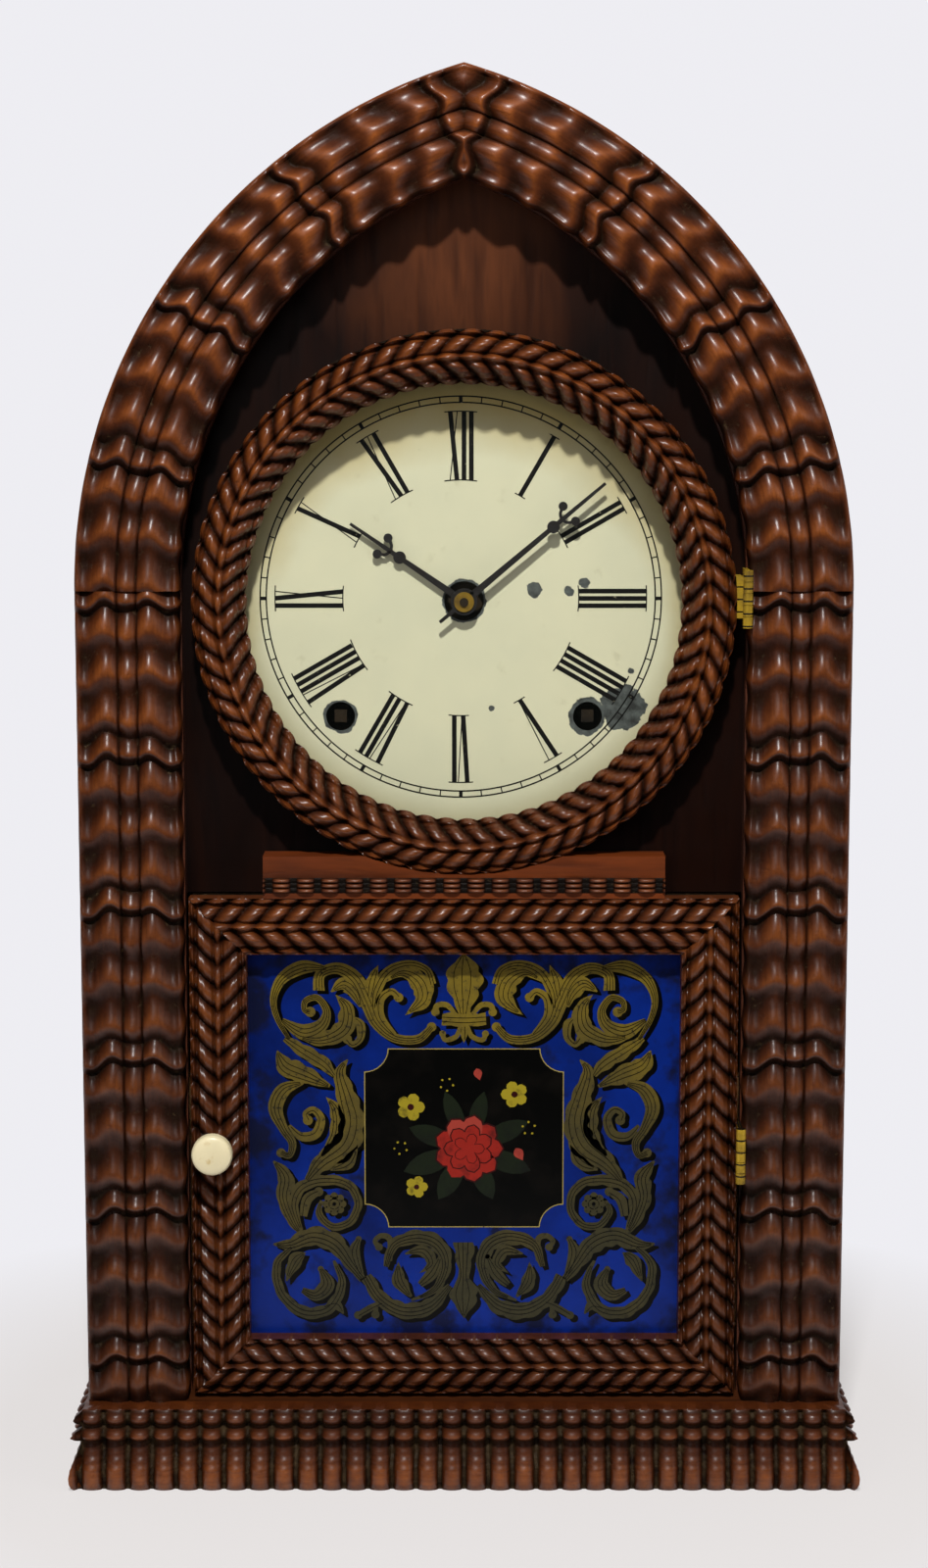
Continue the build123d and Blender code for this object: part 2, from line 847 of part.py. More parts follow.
def hour_pipe_bore():
    return arbor_radius + running_gap


def hour_pipe_radius():
    return hour_pipe_bore() + hour_pipe_wall


def hour_hand():
    y1 = dial_front - hour_hand_lift
    hand = hand_outline(hour_hand_length, 0, hour_ring_share, y1 - hand_sheet, y1, hour_pipe_radius())
    return turned(hand, centre, hour_hand_angle)


def minute_hand():
    y1 = dial_front - minute_hand_lift
    hand = hand_outline(minute_hand_length, minute_tail, minute_ring_share, y1 - hand_sheet, y1,
                        arbor_radius)
    return turned(hand, centre, minute_hand_angle)


def hand_washer():
    y1 = dial_front - minute_hand_lift - hand_sheet
    washer = rod_y(centre, y1 - washer_thickness, y1, washer_radius)
    return washer - rod_y(centre, y1 - cut_overrun, y1 + cut_overrun, arbor_radius)


# Wheelwork
def toothed(place, y0, y1, teeth, module, phase, thickness):
    pitch_radius = module * teeth / 2
    root = pitch_radius - module * dedendum_share
    tip = pitch_radius + module * addendum_share
    pitch_angle = 360 / teeth
    half = pitch_angle * thickness
    wide = tooth_root_share * half
    narrow = tooth_tip_share * half
    corners = ((root, -wide), (pitch_radius, -half), (tip, -narrow),
               (tip, narrow), (pitch_radius, half), (root, wide))
    points = []
    for tooth in range(teeth):
        for radius, turn in corners:
            points.append(polar(place, radius, phase + pitch_angle * tooth + turn))
    return prism(points, y0, y1)


def leaves_prism(place, y0, y1, leaves, module, phase):
    pitch_radius = module * leaves / 2
    root = pitch_radius - module * dedendum_share
    tip = pitch_radius + module * addendum_share
    pitch_angle = 360 / leaves
    half = pitch_angle * leaf_share
    narrow = leaf_tip_share * half
    corners = ((root, -half), (pitch_radius, -half), (tip, -narrow),
               (tip, narrow), (pitch_radius, half), (root, half))
    points = []
    for leaf in range(leaves):
        for radius, turn in corners:
            points.append(polar(place, radius, phase + pitch_angle * (leaf + 0.5) + turn))
    return prism(points, y0, y1)


def spoked(disc, place, y0, y1, radius):
    # Four arms are left where the disc is pierced
    reach = cut_overrun
    window = rod_y(place, y0 - reach, y1 + reach, radius * wheel_rim_share)
    window = window - rod_y(place, y0 - 2 * reach, y1 + 2 * reach, radius * wheel_hub_share)
    arm = radius * wheel_spoke_share / 2
    x, z = place
    window = window - slab(x - arm, x + arm, y0 - 2 * reach, y1 + 2 * reach, z - radius, z + radius)
    window = window - slab(x - radius, x + radius, y0 - 2 * reach, y1 + 2 * reach, z - arm, z + arm)
    return disc - window


def cut_wheel(place, depth, sheet, teeth, module, towards):
    y0 = plates_inside + depth
    disc = toothed(place, y0, y0 + sheet, teeth, module, bearing(place, towards), tooth_share)
    return spoked(disc, place, y0, y0 + sheet, module * teeth / 2)


def pinion(place, depth, leaves, module, towards):
    y0 = plates_inside + depth - (pinion_length - wheel_sheet) / 2
    return leaves_prism(place, y0, y0 + pinion_length, leaves, module, bearing(place, towards))


def arbor(place, radius):
    body = rod_y(place, plates_inside + end_shake, plates_end - end_shake, radius)
    return body + rod_y(place, plate_front, plate_back, pivot_radius)


def great_wheel(place, towards):
    wheel = cut_wheel(place, great_wheel_depth, great_sheet, great_teeth, great_module, towards)
    square_end = dial_back + end_shake
    body = arbor(place, great_arbor_radius)
    stem = rod_y(place, square_end + winding_square_length, plates_inside + end_shake, great_arbor_radius)
    half = winding_square / 2
    square = slab(place[0] - half, place[0] + half, square_end, square_end + winding_square_length,
                  place[1] - half, place[1] + half)
    return wheel + body + stem + square


def second_wheel(place, great_place, towards):
    wheel = cut_wheel(place, second_wheel_depth, wheel_sheet, second_teeth, second_module, towards)
    leaves = pinion(place, great_wheel_depth, second_leaves, great_module, great_place)
    return wheel + leaves + arbor(place, arbor_radius)


def centre_wheel():
    wheel = cut_wheel(centre, centre_wheel_depth, wheel_sheet, centre_teeth, centre_module, time_third)
    leaves = pinion(centre, second_wheel_depth, centre_leaves, second_module, time_second)
    y0 = plate_front - cannon_lead - cannon_length
    cannon = leaves_prism(centre, y0, y0 + cannon_length, cannon_leaves, cannon_module,
                          bearing(centre, minute_stud))
    end = dial_front - minute_hand_lift - hand_sheet - washer_thickness - washer_thickness
    stem = rod_y(centre, end, plates_inside + end_shake, arbor_radius)
    return wheel + leaves + arbor(centre, arbor_radius) + stem + cannon


def third_wheel():
    wheel = cut_wheel(time_third, third_wheel_depth, wheel_sheet, third_teeth, third_module, escape)
    leaves = pinion(time_third, centre_wheel_depth, third_leaves, centre_module, centre)
    return wheel + leaves + arbor(time_third, arbor_radius)


def escape_wheel():
    y0 = plates_inside + escape_wheel_depth
    points = []
    for tooth in range(escape_teeth):
        turn = 360 / escape_teeth
        points.append(polar(escape, escape_radius, turn * tooth))
        for back_share in escape_back_shares:
            points.append(polar(escape, escape_radius * escape_root_share, turn * (tooth + back_share)))
    disc = prism(points, y0, y0 + wheel_sheet)
    disc = spoked(disc, escape, y0, y0 + wheel_sheet, escape_radius * escape_rim_share)
    leaves = pinion(escape, third_wheel_depth, escape_leaves, third_module, time_third)
    return disc + leaves + arbor(escape, arbor_radius)


def pin_wheel():
    wheel = cut_wheel(strike_pin, pin_wheel_depth, wheel_sheet, pin_teeth, pin_module, strike_fly)
    body = wheel + pinion(strike_pin, second_wheel_depth, centre_leaves, second_module, strike_second)
    body = body + arbor(strike_pin, arbor_radius)
    back = plates_inside + pin_wheel_depth + wheel_sheet
    rim = pin_teeth * pin_module / 2 * (1 + wheel_rim_share) / 2
    for pin in range(lift_pins):
        place = polar(strike_pin, rim, 360 / lift_pins * pin)
        body = body + rod_y(place, back - wheel_sheet, back + lift_pin_length, lift_pin_radius)
    return body


def fly():
    y0 = plates_inside + fly_depth
    x, z = strike_fly
    vane = slab(x - fly_half, x + fly_half, y0, y0 + fly_width, z - fly_sheet / 2, z + fly_sheet / 2)
    leaves = pinion(strike_fly, pin_wheel_depth, fly_leaves, pin_module, strike_pin)
    return vane + leaves + arbor(strike_fly, arbor_radius)


def minute_wheel():
    y1 = plate_front - minute_wheel_lead
    y0 = y1 - wheel_sheet
    wheel = toothed(minute_stud, y0, y1, minute_teeth, cannon_module, bearing(minute_stud, centre),
                    tooth_share)
    leaves = leaves_prism(minute_stud, y0 - pinion_length, y0, minute_leaves, hour_module,
                          bearing(minute_stud, centre))
    return wheel + leaves - rod_y(minute_stud, y0 - pinion_length - cut_overrun, y1 + cut_overrun,
                                  stud_radius + running_gap)


def hour_wheel():
    y1 = plate_front - hour_wheel_lead
    wheel = toothed(centre, y1 - wheel_sheet, y1, hour_teeth, hour_module, bearing(centre, minute_stud),
                    tooth_share)
    end = dial_front - hour_hand_lift - hand_sheet
    pipe = rod_y(centre, end, y1, hour_pipe_radius())
    return wheel + pipe - rod_y(centre, end - cut_overrun, y1 + cut_overrun, hour_pipe_bore())


def verge():
    y0 = plates_inside + escape_wheel_depth - (verge_sheet - wheel_sheet) / 2
    y1 = y0 + verge_sheet
    reach = escape_radius + pallet_clear
    left = polar(escape, reach, 90 + pallet_angle)
    right = polar(escape, reach, 90 - pallet_angle)
    top = verge_axis[1]
    points = [left, polar(left, pallet_length, 90 + pallet_angle), (-verge_bar, top + verge_bar),
              (verge_bar, top + verge_bar), polar(right, pallet_length, 90 - pallet_angle), right,
              (verge_bar, top), (-verge_bar, top)]
    anchor = prism(points, y0, y1)
    arm_y = plate_front - crutch_lead
    stem = rod_y(verge_axis, arm_y - crutch_radius, plates_inside + end_shake, pivot_radius)
    low = verge_axis[1] - crutch_drop
    wire = rod_z(verge_axis[0], arm_y, low, verge_axis[1], crutch_radius)
    spread = rod_radius + fork_gap + crutch_radius
    bar = slab(-spread - crutch_radius, spread + crutch_radius, arm_y - crutch_radius, arm_y + crutch_radius,
               low - crutch_radius, low + crutch_radius)
    body = anchor + arbor(verge_axis, arbor_radius) + stem + wire + bar
    for side in (-1, 1):
        body = body + rod_y((side * spread, low), plate_front - fork_lead, arm_y, crutch_radius)
    return body


def train_places():
    return (centre, time_second, time_third, escape, strike_second, strike_pin, strike_fly, verge_axis)


def plate_outline():
    low = dial_height - plate_drop
    high = dial_height + plate_rise
    return [(-plate_low_half, low), (plate_low_half, low), (plate_low_half, dial_height),
            (plate_high_half, high), (-plate_high_half, high), (-plate_low_half, dial_height)]


def post_places():
    low = dial_height - plate_drop + pillar_margin
    high = dial_height + plate_rise - pillar_margin
    low_x = plate_low_half - pillar_margin
    high_x = plate_high_half - 2 * pillar_margin
    return ((-low_x, low), (low_x, low), (-high_x, high), (high_x, high))


def block_places():
    low = dial_height - plate_drop
    high = dial_height + plate_rise
    low_x = plate_low_half - 2 * pillar_margin - block_size
    high_x = plate_high_half - 4 * pillar_margin - block_size
    return ((-low_x, low), (low_x, low), (-high_x, high), (high_x, high))


def screw_places():
    return [(x, z + (pillar_margin if z < dial_height else -pillar_margin)) for x, z in block_places()]


def bored(plate, places, y0, y1, radius):
    for place in places:
        plate = plate - rod_y(place, y0 - cut_overrun, y1 + cut_overrun, radius)
    return plate


def front_plate():
    y0, y1 = plate_front, plates_inside
    plate = prism(plate_outline(), y0, y1)
    plate = bored(plate, train_places()[1:-1], y0, y1, pivot_radius + running_gap)
    plate = bored(plate, (verge_axis, hammer_axis), y0, y1, pivot_radius + running_gap)
    plate = bored(plate, (centre,), y0, y1, arbor_radius + running_gap)
    plate = bored(plate, (time_great, strike_great), y0, y1, great_arbor_radius + running_gap)
    plate = bored(plate, post_places(), y0, y1, pillar_rivet_radius)
    stud_end = plate_front - minute_wheel_lead - wheel_sheet - pinion_length - end_shake
    return plate + rod_y(minute_stud, stud_end, y1, stud_radius)


def back_plate():
    y0, y1 = plates_end, plate_back
    plate = prism(plate_outline(), y0, y1)
    plate = bored(plate, train_places() + (time_great, strike_great), y0, y1, pivot_radius + running_gap)
    plate = bored(plate, (hammer_axis,), y0, y1, hammer_arbor_radius + running_gap)
    plate = bored(plate, post_places(), y0, y1, pillar_rivet_radius)
    return bored(plate, screw_places(), y0, y1, screw_radius)


def plate_pillars():
    posts = []
    for place in post_places():
        post = rod_y(place, plates_inside, plates_end, pillar_radius)
        posts.append(post + rod_y(place, plate_front, plate_back, pillar_rivet_radius))
    return posts


def movement_blocks():
    blocks = []
    for x, z in block_places():
        z0 = z if z < dial_height else z - block_size
        block = slab(x - block_size / 2, x + block_size / 2, plate_back, back_front, z0, z0 + block_size)
        for place in screw_places():
            if math.dist(place, (x, z)) < block_size:
                block = block - rod_y(place, plate_back - cut_overrun, plate_back + screw_bite, screw_radius)
        blocks.append(block)
    return blocks


def movement_screws():
    screws = []
    for place in screw_places():
        head = rod_y(place, plates_end - screw_head_height, plates_end, screw_head_radius)
        screws.append(head + rod_y(place, plates_end, plate_back + screw_bite, screw_radius))
    return screws


def mainspring(place):
    y0 = plates_inside + spring_depth
    drum = rod_y(place, y0, y0 + spring_width, spring_radius)
    return drum - rod_y(place, y0 - cut_overrun, y0 + spring_width + cut_overrun,
                        great_arbor_radius + spring_core_gap)


# Pendulum
def suspension_cock():
    low = verge_axis[1]
    y0 = plate_front - cock_lead
    body = slab(-cock_width / 2, cock_width / 2, y0, plate_front, low + cock_height / 2, low + cock_height)
    jaw_back = plate_front - crutch_lead - 2 * crutch_radius
    jaw = slab(-cock_width / 2, cock_width / 2, y0, jaw_back, low, low + cock_height)
    slot = slab(-cock_slot / 2, cock_slot / 2, y0 - cut_overrun, plate_front - crutch_lead,
                low - cut_overrun, low + spring_strip_lap + cock_slot)
    return body + jaw - slot


def suspension_spring():
    y = plate_front - rod_lead
    top = verge_axis[1] + spring_strip_lap
    return slab(-spring_strip / 2, spring_strip / 2, y - spring_strip_width / 2, y + spring_strip_width / 2,
                top - spring_strip_length, top)


def rod_top():
    return verge_axis[1] + spring_strip_lap - spring_strip_length


def pendulum_rod():
    y = plate_front - rod_lead
    loop = Solid.make_torus(rod_loop_radius, rod_radius, Plane((0, y, dial_height), z_dir=(0, 1, 0)))
    upper = rod_z(0, y, dial_height + rod_loop_radius, rod_top(), rod_radius)
    lower = rod_z(0, y, bob_height - bob_radius - rod_tail, dial_height - rod_loop_radius, rod_radius)
    return loop + upper + lower


def pendulum_bob():
    y = plate_front - rod_lead
    place = (0, bob_height)
    half = bob_thickness / 2
    core = rod_y(place, y - half, y + half, bob_radius - bob_edge)
    rim = rod_y(place, y - half + bob_edge, y + half - bob_edge, bob_radius)
    reach = bob_radius + cut_overrun
    return core + rim - rod_z(0, y, bob_height - reach, bob_height + reach, rod_radius)


def rating_nut():
    y = plate_front - rod_lead
    top = bob_height - bob_radius
    nut = rod_z(0, y, top - nut_height, top, nut_radius)
    return nut - rod_z(0, y, top - nut_height - cut_overrun, top + cut_overrun, rod_radius)


# Strike
def hammer_y():
    return plate_back + hammer_back_lead


def hammer():
    body = rod_y(hammer_axis, plates_inside + end_shake, hammer_y() + hammer_arbor_end, hammer_arbor_radius)
    body = body + rod_y(hammer_axis, plate_front, plates_inside + end_shake, pivot_radius)
    x, z = hammer_axis
    low = z - hammer_length
    body = body + rod_z(x, hammer_y(), low, z, hammer_rod_radius)
    head = Solid.make_cylinder(hammer_head_radius, hammer_head_length,
                               Plane((x - hammer_head_length / 2, hammer_y(), low), z_dir=(1, 0, 0)))
    y0 = plates_inside + pin_wheel_depth + wheel_sheet + lift_pin_radius
    tail_end = polar(hammer_axis, hammer_tail, bearing(hammer_axis, strike_pin))
    side = bearing(hammer_axis, strike_pin) + 90
    half = hammer_tail_width / 2
    tail = prism([polar(hammer_axis, half, side), polar(tail_end, half, side),
                  polar(tail_end, -half, side), polar(hammer_axis, -half, side)], y0, y0 + wheel_sheet)
    return body + head + tail


def gong_y():
    return back_front - gong_lead


def gong_points():
    # Half turns whose radius grows step by step, on centres that shift to keep them tangent
    halves = []
    x = gong_x
    for half in range(2 * gong_turns):
        radius = gong_inner_radius + gong_step / 2 * half
        halves.append((x, radius, half % 2))
        x = x + (-gong_step / 2 if half % 2 else gong_step / 2)
    return halves


def gong_coil():
    edges = []
    for x, radius, lower in gong_points():
        side = -1 if lower else 1
        start = (x + side * radius, gong_y(), gong_height)
        middle = (x, gong_y(), gong_height + side * radius)
        end = (x - side * radius, gong_y(), gong_height)
        edges.append(Edge.make_three_point_arc(start, middle, end))
    path = Wire(edges)
    start = path.position_at(0)
    section = Face(Wire.make_circle(gong_wire_radius, Plane(start, z_dir=path.tangent_at(0))))
    return Solid.sweep(section, path)


def gong_block():
    x, radius, lower = gong_points()[-1]
    end = x + radius
    return slab(end - 2 * gong_wire_radius, end + gong_block_size, gong_y() - 2 * gong_wire_radius,
                back_front, gong_height, gong_height + gong_block_height)


os.makedirs("parts", exist_ok=True)

save("base_board", base_board())
save("base_front_moulding", base_front_moulding())
save("base_left_moulding", base_side_moulding(-1))
save("base_right_moulding", base_side_moulding(1))
save("left_case_side", case_side(-1))
save("right_case_side", case_side(1))
save("backboard", backboard())
save("front_frame", front_frame())
save("left_pillar_moulding", pillar_moulding(-1))
save("right_pillar_moulding", pillar_moulding(1))
save("left_arch_moulding", arch_moulding(-1))
save("right_arch_moulding", arch_moulding(1))
save("spandrel_panel", spandrel_panel())
save("dial", dial())
save("dial_tacks", *dial_tacks())
save("hinge_case_leaves", *hinge_case_leaves())
save("hinge_pins", *hinge_pins())
save("movement_blocks", *movement_blocks())
save("movement_screws", *movement_screws())
save("front_plate", front_plate())
save("back_plate", back_plate())
save("plate_pillars", *plate_pillars())
save("suspension_cock", suspension_cock())
save("mainsprings", mainspring(time_great), mainspring(strike_great))
save("gong_block", gong_block())
save("gong_coil", gong_coil())

save("bezel_ring", bezel_ring())
save("bezel_glass", bezel_glass())
save("bridge_block", bridge_block())
save("bridge_reeds", bridge_reeds())
save("door_left_stile", door_left_stile())
save("door_right_stile", door_right_stile())
save("door_top_rail", door_top_rail())
save("door_bottom_rail", door_bottom_rail())
save("tablet_glass", tablet_glass())
save("tablet_strips", *tablet_strips())
save("hinge_door_leaves", *hinge_door_leaves())
save("door_knob", door_knob())
save("latch_tongue", latch_tongue())

save("centre_wheel", centre_wheel())
save("hand_washer", hand_washer())
save("minute_hand", minute_hand())
save("hour_wheel", hour_wheel())
save("hour_hand", hour_hand())
save("minute_wheel", minute_wheel())
save("time_great_wheel", great_wheel(time_great, time_second))
save("time_second_wheel", second_wheel(time_second, time_great, centre))
save("time_third_wheel", third_wheel())
save("escape_wheel", escape_wheel())
save("verge", verge())
save("suspension_spring", suspension_spring())
save("pendulum_rod", pendulum_rod())
save("pendulum_bob", pendulum_bob())
save("rating_nut", rating_nut())
save("strike_great_wheel", great_wheel(strike_great, strike_second))
save("strike_second_wheel", second_wheel(strike_second, strike_great, strike_pin))
save("strike_pin_wheel", pin_wheel())
save("strike_fly", fly())
save("hammer", hammer())
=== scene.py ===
import bpy
import math
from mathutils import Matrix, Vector


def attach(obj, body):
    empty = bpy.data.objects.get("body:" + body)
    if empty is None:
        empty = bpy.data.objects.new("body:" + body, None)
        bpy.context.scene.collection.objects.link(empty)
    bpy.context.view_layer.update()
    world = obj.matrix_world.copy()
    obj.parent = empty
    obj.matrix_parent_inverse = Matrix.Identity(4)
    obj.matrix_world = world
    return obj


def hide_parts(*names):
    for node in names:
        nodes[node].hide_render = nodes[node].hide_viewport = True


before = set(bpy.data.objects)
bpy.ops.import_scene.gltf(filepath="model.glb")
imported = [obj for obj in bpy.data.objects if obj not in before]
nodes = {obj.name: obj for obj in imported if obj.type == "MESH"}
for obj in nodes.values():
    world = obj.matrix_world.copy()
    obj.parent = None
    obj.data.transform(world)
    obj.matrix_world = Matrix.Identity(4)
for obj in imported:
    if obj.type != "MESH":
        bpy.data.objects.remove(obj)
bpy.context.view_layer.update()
mm = 0.001
print("frame loaded:", len(nodes), "nodes")

# the clock's main sizes in millimetres, as in the solids
clock = {
    "caseHalf": 130.5, "openingHalf": 95.75, "mouldingWidth": 34.75, "baseHeight": 28.0, "springHeight": 310.0,
    "height": 483.0, "mouldingFront": -41.6, "mouldingBack": -27.0, "doorFront": -37.0, "doorBack": -22.0,
    "glassFront": -27.0, "doorHalf": 94.0, "doorFloor": 29.5, "doorTop": 204.8, "dialHeight": 305.0,
    "dialFront": -16.0}
archRise = clock["height"] - clock["springHeight"]
archOffset = (archRise ** 2 - clock["caseHalf"] ** 2) / (2 * clock["caseHalf"])
archRadius = clock["caseHalf"] + archOffset


def clearSelection():
    if bpy.context.object and bpy.context.object.mode != "OBJECT":
        bpy.ops.object.mode_set(mode="OBJECT")
    bpy.ops.object.select_all(action="DESELECT")


def mend(piece, merge=0.0):
    # doubles merged first, then the faces turned outwards
    clearSelection()
    piece.select_set(True)
    bpy.context.view_layer.objects.active = piece
    bpy.ops.object.mode_set(mode="EDIT")
    bpy.ops.mesh.select_all(action="SELECT")
    if merge:
        bpy.ops.mesh.remove_doubles(threshold=merge)
    bpy.ops.mesh.normals_make_consistent(inside=False)
    bpy.ops.object.mode_set(mode="OBJECT")


def settle(piece, body, material, replaced=()):
    piece.data.materials.clear()
    piece.data.materials.append(material)
    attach(piece, body)
    if replaced:
        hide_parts(*replaced)
    return piece


def smoothEdges(piece, angle=50):
    clearSelection()
    piece.select_set(True)
    bpy.context.view_layer.objects.active = piece
    bpy.ops.object.shade_smooth_by_angle(angle=math.radians(angle))


# camera, lights and the pale sweep behind the clock
studio = {
    "aim": (0.0, -0.038, 0.2448), "distance": 1.0, "pitch": 7.9, "focalShare": 3020 / 1600, "sensor": 36.0,
    "ambient": 0.2, "frontGloom": 0.015, "gloomDepths": (0.25, 0.9), "floorFade": (0.17, 0.3), "floorGlow": (0.62, 1.0),
    "lamps": (("topSoftbox", (-0.03, -1.02, 1.46), (0, -0.03, 0.28), (0.09, 0.07), 28.0),
              ("frontFill", (-0.5, -1.5, 0.75), (0, 0, 0.25), (0.8, 0.8), 2.4),
              ("sideFill", (1.1, -0.5, 0.7), (0, 0, 0.28), (0.6, 0.9), 1.6)),
    "floorColour": (0.8, 0.77, 0.76, 1), "farColour": (0.855, 0.85, 0.89, 1),
    "floorSides": (-3.0, 3.0, -0.3, 3.0), "horizon": (0.1, 0.32)}


def addNode(tree, kind, values=None, **settings):
    # values go to sockets: a socket is linked, anything else is set
    node = tree.nodes.new(kind)
    for name, value in settings.items():
        setattr(node, name, value)
    for socket, value in (values or {}).items():
        if isinstance(value, bpy.types.NodeSocket):
            tree.links.new(value, node.inputs[socket])
        else:
            node.inputs[socket].default_value = value
    return node


def addRamp(tree, factor, stops):
    ramp = addNode(tree, "ShaderNodeValToRGB", {"Fac": factor})
    elements = ramp.color_ramp.elements
    while len(elements) < len(stops):
        elements.new(0.5)
    for element, (position, colour) in zip(elements, stops):
        element.position = position
        element.color = colour if len(colour) == 4 else (*colour, 1)
    return ramp.outputs["Color"]


def mixColour(tree, factor, first, second, blend="MIX"):
    node = addNode(tree, "ShaderNodeMix", {0: factor, 6: first, 7: second}, data_type="RGBA", blend_type=blend)
    return node.outputs[2]


def addMath(tree, operation, first, second=0.0, clamp=False):
    node = addNode(tree, "ShaderNodeMath", {0: first, 1: second}, operation=operation, use_clamp=clamp)
    return node.outputs[0]


def times(tree, first, second):
    return addMath(tree, "MULTIPLY", first, second)


def mapRange(tree, value, low, high, toLow=0.0, toHigh=1.0):
    ends = {"Value": value, "From Min": low, "From Max": high, "To Min": toLow, "To Max": toHigh}
    return addNode(tree, "ShaderNodeMapRange", ends).outputs[0]


def objectSpot(tree):
    return addNode(tree, "ShaderNodeTexCoord").outputs["Object"]


def shade(*channels):
    # screen colour written 0-255 turned to the linear colour of a socket
    return tuple(((c / 255 + 0.055) / 1.055) ** 2.4 if c > 10 else c / 255 / 12.92 for c in channels) + (1.0,)


def newMaterial(name):
    material = bpy.data.materials.new(name)
    material.use_nodes = True
    return material, material.node_tree, material.node_tree.nodes["Principled BSDF"]


def setUpStudio():
    scene = bpy.context.scene
    scene.view_settings.view_transform = "Standard"
    pitch = math.radians(studio["pitch"])
    aim = Vector(studio["aim"])
    place = aim + studio["distance"] * Vector((0, -math.cos(pitch), math.sin(pitch)))
    clearSelection()
    bpy.ops.object.camera_add(location=place, rotation=(math.pi / 2 - pitch, 0, 0))
    camera = bpy.context.object
    camera.data.sensor_width = studio["sensor"]
    camera.data.lens = studio["sensor"] * studio["focalShare"]
    camera.data.clip_start = 0.05
    scene.camera = camera

    for name, place, target, size, power in studio["lamps"]:
        bpy.ops.object.light_add(type="AREA", location=place)
        lamp = bpy.context.object
        lamp.name = name
        lamp.data.shape = "RECTANGLE"
        lamp.data.size, lamp.data.size_y = size
        lamp.data.energy = power
        lamp.rotation_euler = (Vector(target) - Vector(place)).to_track_quat("-Z", "Y").to_euler()

    # pale all round to the camera, and dim in front of the clock to gloss and glass
    world = bpy.data.worlds.new("paleRoom")
    scene.world = world
    world.use_nodes = True
    tree = world.node_tree
    path = addNode(tree, "ShaderNodeLightPath")
    heading = addNode(tree, "ShaderNodeTexCoord").outputs["Generated"]
    depth = addNode(tree, "ShaderNodeSeparateXYZ", {0: heading}).outputs[1]
    mirrored = mapRange(tree, depth, *studio["gloomDepths"], studio["frontGloom"])
    bounced = addMath(tree, "MAXIMUM", path.outputs["Is Glossy Ray"], path.outputs["Is Transmission Ray"])
    lit = mapRange(tree, bounced, 0.0, 1.0, studio["ambient"], mirrored)
    strength = mapRange(tree, path.outputs["Is Camera Ray"], 0.0, 1.0, lit, 1.0)
    background = tree.nodes["Background"]
    background.inputs["Color"].default_value = studio["farColour"]
    tree.links.new(strength, background.inputs["Strength"])

    # floor, fading into the pale room behind the clock
    clearSelection()
    bpy.ops.mesh.primitive_plane_add(size=1, location=(0, 0, 0))
    floor = bpy.context.object
    floor.name = "paleFloor"
    west, east, near, far = studio["floorSides"]
    for vertex in floor.data.vertices:
        vertex.co = (east if vertex.co.x > 0 else west, far if vertex.co.y > 0 else near, 0)
    material, tree, shader = newMaterial("palePaper")
    place = addNode(tree, "ShaderNodeTexCoord").outputs["Object"]
    paper = addNode(tree, "ShaderNodeTexNoise", {"Vector": place, "Scale": 3.0, "Detail": 2.0})
    away = addNode(tree, "ShaderNodeSeparateXYZ", {0: place}).outputs[1]
    fade = mapRange(tree, away, *studio["horizon"])
    distance = addNode(tree, "ShaderNodeVectorMath", {0: place}, operation="LENGTH").outputs["Value"]
    outward = mapRange(tree, distance, *studio["floorFade"])
    fade = addMath(tree, "MAXIMUM", fade, outward)
    tint = mixColour(tree, times(tree, paper.outputs[0], 0.06), studio["floorColour"], (0.72, 0.7, 0.7, 1))
    tint = mixColour(tree, fade, tint, studio["farColour"])
    tree.links.new(tint, shader.inputs["Base Color"])
    shader.inputs["Roughness"].default_value = 0.9
    lightPath = addNode(tree, "ShaderNodeLightPath")
    bounced = addMath(tree, "MAXIMUM", lightPath.outputs["Is Glossy Ray"], lightPath.outputs["Is Transmission Ray"])
    seen = addMath(tree, "MAXIMUM", lightPath.outputs["Is Camera Ray"], bounced)
    glow = addNode(tree, "ShaderNodeEmission", {"Color": tint, "Strength": 1.0})
    paleness = mapRange(tree, fade, 0.0, 1.0, *studio["floorGlow"])
    share = times(tree, seen, paleness)
    mixed = addNode(tree, "ShaderNodeMixShader", {0: share, 1: shader.outputs[0], 2: glow.outputs[0]})
    tree.links.new(mixed.outputs[0], tree.nodes["Material Output"].inputs["Surface"])
    floor.data.materials.append(material)
    print("studio set up")


# shared effects
def newGroup(name, inputs, outputs):
    group = bpy.data.node_groups.new(name, "ShaderNodeTree")
    for socket, kind, default in inputs:
        made = group.interface.new_socket(socket, in_out="INPUT", socket_type=kind)
        if default is not None:
            made.default_value = default
    for socket, kind in outputs:
        group.interface.new_socket(socket, in_out="OUTPUT", socket_type=kind)
    return group, addNode(group, "NodeGroupInput"), addNode(group, "NodeGroupOutput")


